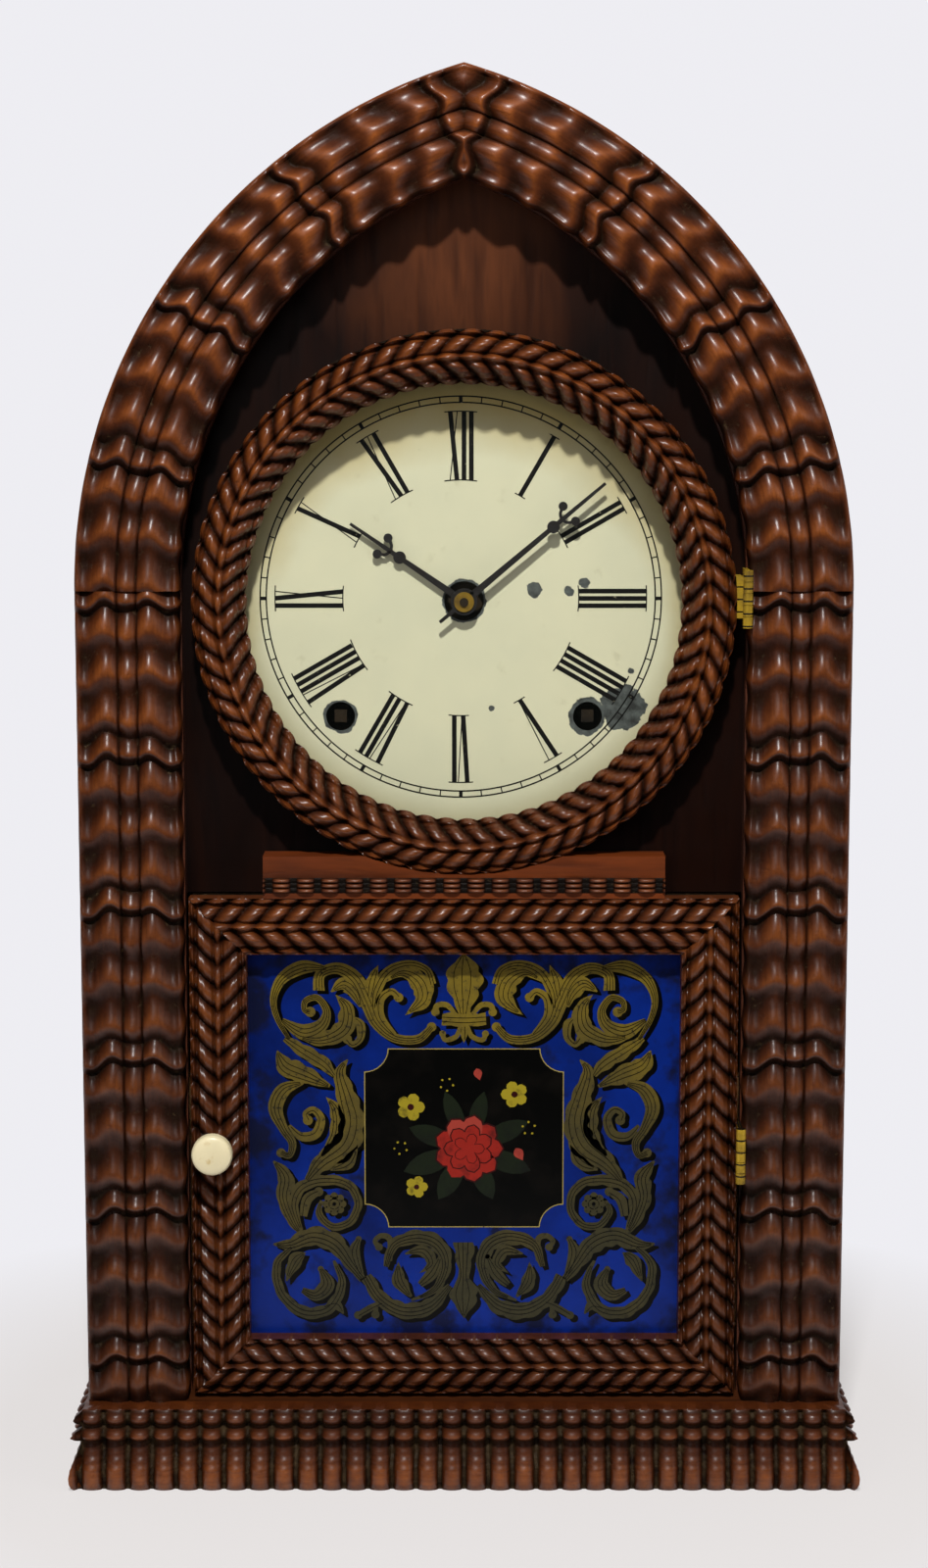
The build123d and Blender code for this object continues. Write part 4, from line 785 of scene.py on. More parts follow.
dialPrint = {
    "centre": (-1.1, 305.9), "trackOuter": 68.7, "trackInner": 66.6, "trackLine": 0.5, "tick": 0.42, "fiveTick": 1.25,
    "numeralTop": 63.6, "numeralFoot": 40.4, "thick": 1.6, "thin": 0.36, "pitch": 2.5, "serif": 0.4,
    "serifReach": 2.0}
numerals = ("XII", "I", "II", "III", "IIII", "V", "VI", "VII", "VIII", "IX", "X", "XI")


def numeralStrokes(word):
    # strokes as (top place, foot place, width), counted in the numeral's own width
    step = dialPrint["pitch"]
    strokes = []
    place = 0.0
    for letter in word:
        if letter == "I":
            strokes.append((place, place, dialPrint["thick"]))
            place += step
        elif letter == "V":
            strokes.append((place - 0.1, place + 1.35, dialPrint["thick"]))
            strokes.append((place + 3.0, place + 1.75, dialPrint["thin"]))
            place += step + 1.9
        else:
            strokes.append((place, place + 2.3, dialPrint["thick"]))
            strokes.append((place + 2.4, place, dialPrint["thin"]))
            place += step + 2.2
    spread = [edge for stroke in strokes for edge in stroke[:2]]
    middle = (min(spread) + max(spread)) / 2
    return [(top - middle, foot - middle, width) for top, foot, width in strokes]


def makeDialPrinting(material):
    centre = dialPrint["centre"]
    outlines = []
    line = dialPrint["trackLine"]
    for radius in (dialPrint["trackOuter"], dialPrint["trackInner"]):
        for quarter in range(8):
            start = 45 * quarter
            outlines.append(arcBand(centre, radius - line / 2, radius + line / 2, start, start + 45.2, 24))

    def radial(turn, low, high, lowX, highX, width):
        along = (math.sin(turn), math.cos(turn))
        side = (along[1], -along[0])
        half = width / 2
        corners = ((low, lowX - half), (low, lowX + half), (high, highX + half), (high, highX - half))
        return [(centre[0] + along[0] * reach + side[0] * x, centre[1] + along[1] * reach + side[1] * x)
                for reach, x in corners]

    for minute in range(60):
        width = dialPrint["tick"] if minute % 5 else dialPrint["fiveTick"]
        outlines.append(radial(math.radians(6 * minute), dialPrint["trackInner"], dialPrint["trackOuter"], 0, 0, width))
    for hour, word in enumerate(numerals):
        turn = math.radians(30 * hour)
        strokes = numeralStrokes(word)
        top, foot = dialPrint["numeralTop"], dialPrint["numeralFoot"]
        for topX, footX, width in strokes:
            outlines.append(radial(turn, foot, top, footX, topX, width))
        for reach, index in ((top, 0), (foot, 1)):
            left = min(stroke[index] for stroke in strokes) - dialPrint["serifReach"]
            right = max(stroke[index] for stroke in strokes) + dialPrint["serifReach"]
            bend = math.degrees(1 / reach)
            outlines.append(arcBand(centre, reach - dialPrint["serif"] / 2, reach + dialPrint["serif"] / 2,
                                    30 * hour + left * bend, 30 * hour + right * bend, 8))
    printing = flatShapes("dialPrinting", outlines, clock["dialFront"] - 0.03)
    settle(printing, "case", material)
    print("dial printed:", len(outlines), "marks")


# hands cut from thin sheet, and the turned knob of the door
handShape = {
    "centre": (0.0, 305.0), "boss": 4.5, "bore": 2.4, "bar": 2.4, "neck": 1.6, "tip": 1.0, "disc": 2.15, "armFoot": 3.9,
    "knobRise": 7.0, "knobSpread": 3.3, "knob": 1.55, "sheet": 0.8}


def makeHands(material):
    cx, cz = handShape["centre"]
    for name, body, node, length, discShare, tail, angle, front in (
            ("hourHand", "hour", "hour_hand", 47.0, 0.566, 0.0, 304.3, -18.4),
            ("minuteHand", "centre", "minute_hand", 62.7, 0.633, 10.8, 50.0, -20.8)):
        turn = math.radians(angle)
        disc = length * discShare
        bar, neck = handShape["bar"], handShape["neck"]
        shapes = [
            [(-bar / 2, handShape["bore"]), (bar / 2, handShape["bore"]), (neck / 2, disc), (-neck / 2, disc)],
            [(-neck / 2, disc), (neck / 2, disc), (handShape["tip"] / 2, length), (-handShape["tip"] / 2, length)],
            discOutline(0, disc, handShape["disc"], 24)]
        shapes += [arcBand((0, 0), handShape["bore"], handShape["boss"], 90 * k, 90 * k + 90, 12) for k in range(4)]
        if tail:
            shapes.append([(-0.55, -tail), (0.55, -tail), (0.75, -handShape["bore"]), (-0.75, -handShape["bore"])])
        for side in (-1, 1):
            knobSpot = (side * handShape["knobSpread"], disc + handShape["knobRise"])
            arm = [(0.0, disc + handShape["armFoot"], 1.1), (side * 1.9, disc + handShape["armFoot"] + 0.7, 1.0),
                   (*knobSpot, 1.1)]
            shapes.append(ribbon(smoothPath(arm), lambda width: width))
            shapes.append(discOutline(*knobSpot, handShape["knob"], 20))
        placed = [[(cx + u * math.cos(turn) + v * math.sin(turn), cz - u * math.sin(turn) + v * math.cos(turn))
                   for u, v in shape] for shape in shapes]
        hand = flatShapes(name, placed, front + 0.036, handShape["sheet"] - 0.04)
        settle(hand, body, material, (node,))
    print("hands made")


knobTurning = {
    "centre": (-86.2, 117.5), "seat": -37.0, "radius": 7.0, "depth": 9.4,
    "profile": ((0.0, 0.5), (0.18, 0.5), (0.3, 0.84), (0.46, 1.0), (0.76, 1.0), (0.88, 0.95), (0.96, 0.8), (1.0, 0.0))}


def makeKnob(material):
    cx, cz = knobTurning["centre"]

    def surface(along, share):
        turn = 2 * math.pi * along
        radius = knobTurning["radius"] * between(knobTurning["profile"], share)
        y = knobTurning["seat"] - knobTurning["depth"] * share
        return (cx + radius * math.cos(turn), y, cz + radius * math.sin(turn)), 1.0

    knob = rippleSheet("turnedKnob", 64, 36, 44.0, 16.0, surface)
    mend(knob, 0.00001)
    bpy.ops.object.mode_set(mode="EDIT")
    bpy.ops.mesh.select_all(action="DESELECT")
    bpy.ops.mesh.select_non_manifold()
    bpy.ops.mesh.edge_face_add()
    bpy.ops.object.mode_set(mode="OBJECT")
    mend(knob)
    smoothEdges(knob)
    settle(knob, "latch", material, ("door_knob",))
    print("knob turned")


# cut nails that hold the backboard, with heads a little proud
backNails = {
    "face": 51.0, "radius": 1.8, "proud": 0.45, "round": 0.25, "foot": 38.0, "footPlaces": (-62.0, 0.0, 62.0),
    "pairs": ((115.0, 60.0), (115.0, 140.0), (115.0, 220.0), (115.0, 300.0), (100.0, 362.0), (68.0, 415.0),
              (26.0, 450.0))}


def makeBackNails(material):
    places = [(x, backNails["foot"]) for x in backNails["footPlaces"]]
    places += [(side * x, z) for x, z in backNails["pairs"] for side in (-1, 1)]
    heads = []
    for x, z in places:
        clearSelection()
        bpy.ops.mesh.primitive_cylinder_add(vertices=12, radius=backNails["radius"] * mm,
                                            depth=2 * backNails["proud"] * mm)
        head = bpy.context.object
        bpy.ops.object.modifier_add(type="BEVEL")
        head.modifiers[0].width = backNails["round"] * mm
        bpy.ops.object.modifier_apply(modifier=head.modifiers[0].name)
        for vertex in head.data.vertices:
            across, up, out = vertex.co
            vertex.co = (across + x * mm, backNails["face"] * mm + out, up + z * mm)
        heads.append(head)
    clearSelection()
    for head in heads:
        head.select_set(True)
    bpy.context.view_layer.objects.active = heads[0]
    bpy.ops.object.join()
    nails = bpy.context.object
    nails.name = "backNails"
    mend(nails)
    settle(nails, "case", material)
    print("back nailed:", len(places), "nails")


# spots of bare zinc on the dial: place across and up, radius, and raggedness in metres
dialAge = {
    "chips": ((24.0, 308.5, 3.0, 0.006), (36.0, 308.0, 2.0, 0.004), (41.5, 311.0, 2.1, 0.004),
              (54.5, 267.8, 7.8, 0.009), (42.5, 265.3, 6.6, 0.004), (-42.5, 265.3, 6.0, 0.003),
              (9.5, 268.0, 1.0, 0.002), (0.0, 305.0, 7.6, 0.003), (57.5, 281.0, 1.2, 0.003))}


def makeDialPaint():
    # cream paint, darker and yellower towards its rim, stained in patches, flaked to grey zinc in places; painted shade
    # at the top
    material, tree, shader = newMaterial("creamDial")
    spot = objectSpot(tree)
    tone = patchMask(tree, spot, 16.0, 0.3, 0.7)
    base = mixColour(tree, tone, shade(222, 218, 180), shade(207, 206, 172))
    # partly yellowed paint and partly painted shade: a dark warm tint at the top of the dial, where the bezel's shadow
    # falls
    away = addNode(tree, "ShaderNodeVectorMath", {0: spot, 1: (0, -0.016, 0.285)}, operation="DISTANCE")
    ragged = addNode(tree, "ShaderNodeTexNoise", {"Vector": spot, "Scale": 55.0, "Detail": 5.0})
    rim = addMath(tree, "ADD", away.outputs["Value"], times(tree, ragged.outputs[0], 0.012))
    topShadeMask = mapRange(tree, rim, 0.074, 0.095)
    base = mixColour(tree, times(tree, topShadeMask, 0.85), base, shade(174, 146, 58))
    reach = addNode(tree, "ShaderNodeVectorMath", {0: spot, 1: (0, -0.016, 0.305)}, operation="DISTANCE")
    edge = reach.outputs["Value"]
    edgeMask = mapRange(tree, edge, 0.069, 0.076)
    base = mixColour(tree, times(tree, edgeMask, 0.5), base, shade(160, 148, 100))
    stain = patchMask(tree, spot, 120.0, 0.62, 0.8)
    base = mixColour(tree, times(tree, stain, 0.35), base, shade(150, 138, 90))
    specks = patchMask(tree, spot, 420.0, 0.72, 0.78)
    base = mixColour(tree, times(tree, specks, 0.6), base, shade(70, 62, 40))
    chips = None
    for x, z, radius, ragged in dialAge["chips"]:
        chip = placeGroup(tree, chipGroup, {"Vector": spot, "Centre": (x * mm, -0.016, z * mm), "Radius": radius * mm,
                                            "Ragged": ragged}).outputs[0]
        chips = chip if chips is None else addMath(tree, "MAXIMUM", chips, chip)
    zinc = patchMask(tree, spot, 300.0, 0.35, 0.65)
    bare = mixColour(tree, zinc, shade(92, 98, 92), shade(48, 50, 46))
    tree.links.new(mixColour(tree, chips, base, bare), shader.inputs["Base Color"])
    rough = addMath(tree, "ADD", 0.42, times(tree, tone, 0.12))
    tree.links.new(rough, shader.inputs["Roughness"])
    height = addMath(tree, "SUBTRACT", times(tree, tone, 0.15), chips)
    bump = addNode(tree, "ShaderNodeBump", {"Height": height, "Strength": 0.4, "Distance": 0.0002})
    tree.links.new(bump.outputs[0], shader.inputs["Normal"])
    return material


# painted glass of the lower door
tablet = {
    "centre": (0.0, 117.15), "face": -27.0, "shadow": (1.5, -1.25), "engrave": 0.22, "broad": 1.28, "lobes": 0.3,
    "lobePitch": 6.4, "rosette": (45.2, -21.6), "rosetteReach": 2.9,
    "panel": (-34.6, 34.6, -30.0, 33.8), "corner": 8.2, "line": 0.34}

# scroll strokes of the left half: points across and up from the middle, each with the stroke's width there
scrollStrokes = (
    ("ball", (-60.2, 36.6, 1.0), (-64.3, 43.8, 1.5), (-65.8, 51.1, 1.9), (-62.8, 58.3, 3.0), (-55.6, 62.4, 3.8),
     (-47.5, 62.0, 1.2)),
    ("ball", (-62.8, 43.8, 1.2), (-55.6, 39.6, 4.4), (-49.5, 41.8, 3.6), (-47.5, 46.9, 2.2), (-50.6, 51.6, 1.8),
     (-54.6, 50.6, 1.7), (-55.1, 47.5, 1.5), (-53.1, 46.7, 2.0)),
    ("leaf", (-57.7, 38.1, 0.6), (-49.5, 36.8, 3.4), (-41.6, 40.7, 4.8), (-40.6, 48.0, 3.6), (-44.4, 52.8, 0.0)),
    ("ball", (-38.6, 44.8, 0.4), (-35.9, 42.4, 2.4), (-35.8, 37.6, 2.0), (-38.4, 35.2, 1.6), (-40.4, 37.1, 1.8)),
    ("ball", (-50.1, 54.2, 3.2), (-49.5, 60.0, 2.8), (-43.4, 62.0, 3.2), (-37.3, 58.3, 3.8), (-33.3, 50.1, 4.0),
     (-30.2, 42.8, 3.2), (-24.1, 37.6, 2.6), (-16.0, 37.1, 2.4), (-11.2, 41.4, 1.8)),
    ("ball", (-10.9, 56.4, 2.2), (-12.9, 61.5, 1.9), (-19.0, 63.5, 2.2), (-26.1, 60.9, 2.6), (-30.2, 54.2, 2.8),
     (-31.2, 48.0, 1.2)),
    ("leaf", (-27.2, 57.3, 0.4), (-21.1, 60.5, 2.4), (-15.4, 57.3, 5.2), (-14.2, 51.1, 4.4), (-20.4, 45.5, 0.0)),
    ("ball", (-24.1, 38.7, 1.4), (-28.7, 44.9, 2.2), (-28.7, 51.1, 2.2), (-25.1, 53.9, 1.8), (-22.6, 51.8, 1.8)),
    ("leaf", (-32.6, 52.2, 2.4), (-31.6, 57.8, 3.2), (-29.5, 63.2, 0.0)),
    ("leaf", (-45.9, 53.8, 0.4), (-41.4, 56.5, 3.6), (-37.5, 53.2, 3.4), (-35.8, 48.4, 0.6)),
    ("ball", (-2.7, 45.4, 1.0), (-5.8, 49.0, 1.5), (-9.2, 49.0, 1.5), (-9.9, 46.6, 1.6)),
    ("ball", (-1.2, 41.8, 1.0), (-2.7, 38.1, 1.4), (-6.4, 36.8, 1.3), (-7.4, 39.0, 1.3)),
    ("leaf", (-62.0, 37.4, 1.6), (-56.0, 33.2, 3.4), (-48.5, 28.3, 3.4), (-45.0, 24.2, 1.2)),
    ("leaf", (-40.2, 29.8, 0.4), (-42.9, 25.2, 3.0), (-40.6, 15.9, 5.4), (-38.9, 7.6, 6.4), (-41.6, -0.7, 6.8),
     (-49.5, -6.9, 4.8), (-54.6, -13.1, 1.6)),
    ("leaf", (-64.6, 33.0, 0.4), (-61.8, 27.6, 4.8), (-54.6, 24.3, 4.6), (-46.5, 20.4, 0.8)),
    ("ball", (-55.7, 21.6, 0.8), (-62.4, 19.2, 3.8), (-65.4, 12.7, 4.0), (-62.8, 5.5, 2.6), (-59.7, 0.3, 2.2),
     (-60.7, -4.2, 1.7), (-63.6, -3.3, 1.8)),
    ("ball", (-60.7, 6.5, 0.8), (-56.7, 2.6, 2.4), (-51.6, 3.4, 2.7), (-49.7, 8.6, 2.4), (-52.1, 12.0, 1.9),
     (-54.9, 10.7, 1.7), (-54.2, 8.3, 1.9)),
    ("leaf", (-47.9, 16.7, 0.0), (-44.4, 11.7, 3.2), (-44.4, 3.4, 3.6), (-49.5, -4.4, 0.6)),
    ("leaf", (-66.2, -6.2, 0.5), (-62.1, -12.1, 4.2), (-62.8, -19.4, 3.6), (-59.9, -27.7, 2.6), (-57.0, -32.2, 0.6)),
    ("leaf", (-56.7, -31.2, 0.8), (-59.4, -22.5, 2.6), (-57.3, -16.3, 3.0), (-51.6, -13.4, 3.0), (-43.4, -13.4, 2.6),
     (-38.6, -16.5, 2.3), (-37.0, -22.5, 2.1), (-40.4, -28.5, 2.1), (-46.5, -29.5, 2.0), (-50.6, -24.8, 1.8),
     (-49.5, -20.4, 0.8)),
    ("leaf", (-46.5, -9.4, 0.5), (-40.4, -6.7, 3.4), (-36.9, -0.4, 0.0)),
    ("ball", (-56.0, -26.0, 2.0), (-54.6, -20.0, 2.8), (-50.6, -17.2, 1.8)),
    ("leaf", (-66.6, -36.0, 0.5), (-60.7, -36.2, 3.2), (-52.6, -33.2, 5.0), (-44.9, -36.0, 5.0), (-39.6, -43.2, 3.2),
     (-35.3, -48.8, 2.0)),
    ("leaf", (-60.2, -37.2, 1.2), (-65.4, -43.4, 2.2), (-64.1, -53.4, 2.5), (-56.7, -60.4, 3.2), (-47.5, -59.4, 3.0),
     (-42.7, -50.5, 2.2), (-45.5, -42.0, 0.8)),
    ("leaf", (-62.2, -49.4, 0.4), (-58.9, -42.0, 3.8), (-55.2, -39.0, 0.0)),
    ("ball", (-56.6, -52.6, 1.6), (-51.8, -54.4, 3.4), (-47.9, -50.5, 4.2), (-50.1, -45.0, 1.2)),
    ("leaf", (-49.5, -59.3, 0.8), (-44.9, -58.0, 2.8), (-42.2, -61.2, 0.4)),
    ("leaf", (-34.2, -47.6, 3.2), (-29.2, -55.6, 3.6), (-21.1, -60.1, 4.4), (-11.9, -58.4, 4.0), (-5.0, -50.9, 1.4)),
    ("leaf", (-27.4, -44.2, 1.4), (-24.3, -36.2, 2.8), (-16.0, -33.6, 4.0), (-9.1, -36.2, 4.0), (-6.3, -43.2, 3.0),
     (-9.9, -52.1, 2.0), (-18.4, -56.3, 0.6)),
    ("leaf", (-22.9, -42.4, 0.0), (-22.6, -49.4, 3.8), (-18.4, -55.0, 0.6)),
    ("ball", (-15.4, -50.7, 1.8), (-11.1, -46.5, 3.2), (-8.2, -40.5, 0.8)),
    ("leaf", (-20.6, -39.5, 0.4), (-14.3, -38.4, 3.0), (-11.5, -43.0, 2.4), (-15.6, -46.5, 0.0)),
    ("ball", (-26.0, -42.1, 1.4), (-25.8, -34.6, 1.7), (-28.7, -33.0, 1.5), (-31.0, -34.9, 1.4), (-29.7, -37.1, 1.5)),
    ("ball", (-36.1, -46.7, 1.6), (-38.4, -39.3, 3.2), (-36.8, -34.2, 1.2)),
    ("ball", (-27.6, -56.7, 0.8), (-32.2, -58.8, 1.9), (-37.1, -61.7, 1.6)),
    ("ball", (-30.6, -57.7, 0.8), (-31.0, -61.5, 1.6)))
plumeStrokes = (
    ("leaf", (0.0, 67.4, 0.0), (0.0, 61.4, 8.4), (0.0, 55.2, 8.6), (0.0, 50.4, 5.4), (0.0, 46.0, 2.8)),
    ("leaf", (-7.6, 44.2, 3.2), (0.0, 43.8, 3.6), (7.6, 44.2, 3.2)),
    ("leaf", (0.0, 42.2, 0.8), (0.0, 39.0, 1.9), (0.0, 35.6, 0.0)),
    ("leaf", (0.0, -35.4, 5.6), (0.0, -41.3, 4.4), (0.0, -47.6, 3.0), (0.0, -54.6, 7.4), (0.0, -63.0, 0.0)))


def smoothPath(points, steps=7):
    # a smooth line through the points, with the width carried along
    path = []
    for index in range(len(points) - 1):
        before = points[max(index - 1, 0)]
        start, end = points[index], points[index + 1]
        after = points[min(index + 2, len(points) - 1)]
        last = index == len(points) - 2
        for step in range(steps + (1 if last else 0)):
            t = step / steps
            path.append(tuple(
                0.5 * (2 * b + (c - a) * t + (2 * a - 5 * b + 4 * c - d) * t * t + (3 * b - a - 3 * c + d) * t ** 3)
                for a, b, c, d in zip(before, start, end, after)))
    return path


def ribbon(path, widthOf, offsetOf=None, lobes=0.0):
    # outline of a stroke of changing width along a path, its sides lobed for leaves
    left, right = [], []
    run = 0.0
    for index, (x, z, width) in enumerate(path):
        near, far = path[max(index - 1, 0)], path[min(index + 1, len(path) - 1)]
        along = math.hypot(far[0] - near[0], far[1] - near[1]) or 1
        nx, nz = -(far[1] - near[1]) / along, (far[0] - near[0]) / along
        half = max(widthOf(width), 0.04) / 2
        shift = offsetOf(width) if offsetOf else 0
        run += math.hypot(x - path[index - 1][0], z - path[index - 1][1]) if index else 0
        outer = half * (1 + lobes * (abs(math.sin(math.pi * run / tablet["lobePitch"])) - 0.45))
        inner = half * (1 + 0.6 * lobes * (abs(math.cos(math.pi * run / tablet["lobePitch"])) - 0.45))
        left.append((x + nx * (shift + outer), z + nz * (shift + outer)))
        right.append((x + nx * (shift - inner), z + nz * (shift - inner)))
    return left + right[::-1]


def discOutline(x, z, radius, count=14):
    return [(x + radius * math.cos(2 * math.pi * k / count), z + radius * math.sin(2 * math.pi * k / count))
            for k in range(count)]


def petalOutline(x, z, turn, reach, width, count=9, blunt=False):
    # a drop-shaped petal from a centre outwards, or a broad one with a blunt end
    outline = []
    for side in (1, -1):
        for step in range(count):
            share = step / (count - 1) if side == 1 else 1 - step / (count - 1)
            if side == -1 and step in (0, count - 1):
                continue
            half = width / 2 * math.sin(math.pi * share ** 1.4) ** (0.45 if blunt else 0.8)
            along = reach * share
            outline.append((x + along * math.cos(turn) - side * half * math.sin(turn),
                            z + along * math.sin(turn) + side * half * math.cos(turn)))
    return outline


def makeTablet(paints):
    cx, cz = tablet["centre"]
    scrolls, lines = [], []

    def lay(kind, points, mirror):
        placed = [(cx + (-x if mirror else x), cz + z, width * tablet["broad"]) for x, z, width in points]
        path = smoothPath(placed, 10)
        lobed = tablet["lobes"] if kind == "leaf" and max(width for x, z, width in placed) > 3.6 else 0.0
        scrolls.append(ribbon(path, lambda width: width, lobes=lobed))
        if kind == "ball":
            x, z, width = path[-1]
            scrolls.append(discOutline(x, z, max(width, 1.2) * 0.72))
        widest = max(width for x, z, width in path)
        if widest > 2.3:
            inside = [spot for spot in path if spot[2] > 1.3]
            for share in (-0.3, -0.06, 0.2) if widest > 4.8 else (-0.2, 0.16) if widest > 3.6 else (0.14,):
                lines.append(ribbon(inside, lambda width: tablet["engrave"], lambda width: width * share))

    for stroke in scrollStrokes:
        lay(stroke[0], stroke[1:], False)
        lay(stroke[0], stroke[1:], True)
    for stroke in plumeStrokes:
        lay(stroke[0], stroke[1:], False)
    for side in (-1, 1):
        x, z = cx + side * tablet["rosette"][0], cz + tablet["rosette"][1]
        reach = tablet["rosetteReach"]
        for petal in range(8):
            turn = math.radians(45 * petal)
            scrolls.append(discOutline(x + reach * math.cos(turn), z + reach * math.sin(turn), 1.35, 10))
            lines.append(discOutline(x + reach * math.cos(turn + 0.39), z + reach * math.sin(turn + 0.39), 0.3, 6))
        scrolls.append(discOutline(x, z, 2.6))
        lines.extend(arcBand((x, z), 1.7, 1.95, 60 * k, 60 * k + 48, 5) for k in range(6))
        lines.append(discOutline(x, z, 0.7, 8))
    dx, dz = tablet["shadow"]
    shadows = [[(x + dx, z + dz) for x, z in outline] for outline in scrolls]

    # dark field in the middle, its corners scooped, with a gilt line
    west, east, south, north = tablet["panel"]
    corner = tablet["corner"]

    def field(inset):
        points = []
        reach = corner + inset
        for x, z, start in ((west, south, 0), (east, south, 90), (east, north, 180), (west, north, 270)):
            arc = []
            for step in range(9):
                turn = math.radians(start + 90 - 90 * step / 8)
                arc.append((cx + x + reach * math.cos(turn), cz + z + reach * math.sin(turn)))
            points.extend(arc)
        return [(min(max(x, cx + west + inset), cx + east - inset), min(max(z, cz + south + inset), cz + north - inset))
                for x, z in points]

    face = tablet["face"]
    half = tablet["line"] / 2
    rim, inner = field(0.0), field(2 * half)
    gilt = []
    for index in range(len(rim)):
        following = (index + 1) % len(rim)
        gilt.append([rim[index], rim[following], inner[following], inner[index]])
    layers = [
        ("scrollShadows", shadows, 0.02, paints["black"]), ("darkField", [rim], 0.05, paints["black"]),
        ("goldScrolls", scrolls, 0.08, paints["gold"]), ("fieldLine", gilt, 0.08, paints["line"]),
        ("engravedLines", lines, 0.15, paints["black"])]
    for name, outlines, lift, paint in layers + flowerLayers(cx, cz):
        made = flatShapes(name, outlines, face - lift)
        settle(made, "door", paints[paint] if isinstance(paint, str) else paint)
    print("tablet painted:", len(scrolls), "scroll strokes")


# a loose group of flowers on the dark field
flowers = {
    "red": (1.6, -1.8), "redReach": 11.8, "yellow": ((-18.5, 13.0, 5.0), (17.5, 17.5, 4.8), (-16.5, -15.5, 4.0)),
    "buds": ((20.5, -6.0, 2.3), (5.5, 22.5, 2.0)), "sprigs": ((-6.0, 21.0), (22.5, 5.5), (-22.0, -1.5))}


def flowerLayers(cx, cz):
    leaves, petals, deeps, pinks, yellows, cores = [], [], [], [], [], []
    rx, rz = cx + flowers["red"][0], cz + flowers["red"][1]
    for turn, reach, width in ((200, 24, 8), (160, 22, 7), (25, 23, 7), (-20, 23, 7.4), (-65, 20, 7), (-120, 21, 7.4),
                               (75, 21, 6), (112, 22, 6)):
        leaves.append(petalOutline(rx, rz, math.radians(turn), reach, width))
    for ring, (count, share) in enumerate(((9, 1.0), (7, 0.72), (5, 0.46))):
        for k in range(count):
            turn = 2 * math.pi * (k + 0.5 * ring) / count
            reach = flowers["redReach"] * share
            shape = petalOutline(rx, rz, turn, reach, reach * 0.6, blunt=True)
            wide = petalOutline(rx, rz, turn, reach * 1.05, reach * 0.68, blunt=True)
            (pinks if math.sin(turn) > 0.72 and ring == 0 else petals).append((ring, shape))
            deeps.append((ring, wide))
    for x, z, reach in flowers["yellow"]:
        for k in range(5):
            yellows.append(petalOutline(cx + x, cz + z, math.radians(72 * k + 18 + x), reach, reach * 0.8, blunt=True))
        cores.append(discOutline(cx + x, cz + z, reach * 0.24, 8))
    for x, z, reach in flowers["buds"]:
        pinks.append((0, petalOutline(cx + x, cz + z, math.radians(100 + x), reach * 2.2, reach * 1.5)))
    for x, z in flowers["sprigs"]:
        for k in range(5):
            turn = math.radians(70 * k + x)
            yellows.append(discOutline(cx + x + 2.2 * math.cos(turn), cz + z + 2.2 * math.sin(turn), 0.42, 6))
    layers = [("fieldLeaves", leaves, 0.08, "green")]
    for ring in range(3):
        lift = 0.1 + 0.06 * ring
        layers.append(("redHollows%d" % ring, [shape for r, shape in deeps if r == ring], lift, "deepRed"))
        layers.append(("redPetals%d" % ring, [shape for r, shape in petals if r == ring], lift + 0.03, "red"))
    layers.append(("pinkPetals", [shape for r, shape in pinks], 0.14, "pink"))
    layers.append(("yellowPetals", yellows, 0.12, "yellow"))
    layers.append(("flowerHearts", cores, 0.15, "deepRed"))
    return layers


def makeTabletGold():
    # bronze powder, brighter at the top and darker towards the foot, rubbed through in specks
    material, tree, shader = newMaterial("tabletGold")
    spot = objectSpot(tree)
    height = addNode(tree, "ShaderNodeSeparateXYZ", {0: spot}).outputs[2]
    cloud = addNode(tree, "ShaderNodeTexNoise", {"Vector": spot, "Scale": 30.0, "Detail": 3.0}).outputs[0]
    climb = addMath(tree, "ADD", height, times(tree, addMath(tree, "SUBTRACT", cloud, 0.5), 0.16))
    rise = mapRange(tree, climb, 0.06, 0.18)
    base = addRamp(tree, rise, [(0.0, shade(50, 47, 26)), (0.45, shade(66, 58, 26)), (1.0, shade(111, 93, 24))])
    rubbed = patchMask(tree, spot, 260.0, 0.4, 0.7)
    base = darken(tree, base, rubbed, 0.55, (0.42, 0.42, 0.4, 1))
    specks = patchMask(tree, spot, 520.0, 0.58, 0.66)
    base = mixColour(tree, times(tree, specks, 0.8), base, shade(24, 22, 14))
    tree.links.new(base, shader.inputs["Base Color"])
    tree.links.new(addMath(tree, "ADD", 0.4, times(tree, rubbed, 0.15)), shader.inputs["Roughness"])
    shader.inputs["Specular IOR Level"].default_value = 0.25
    return material


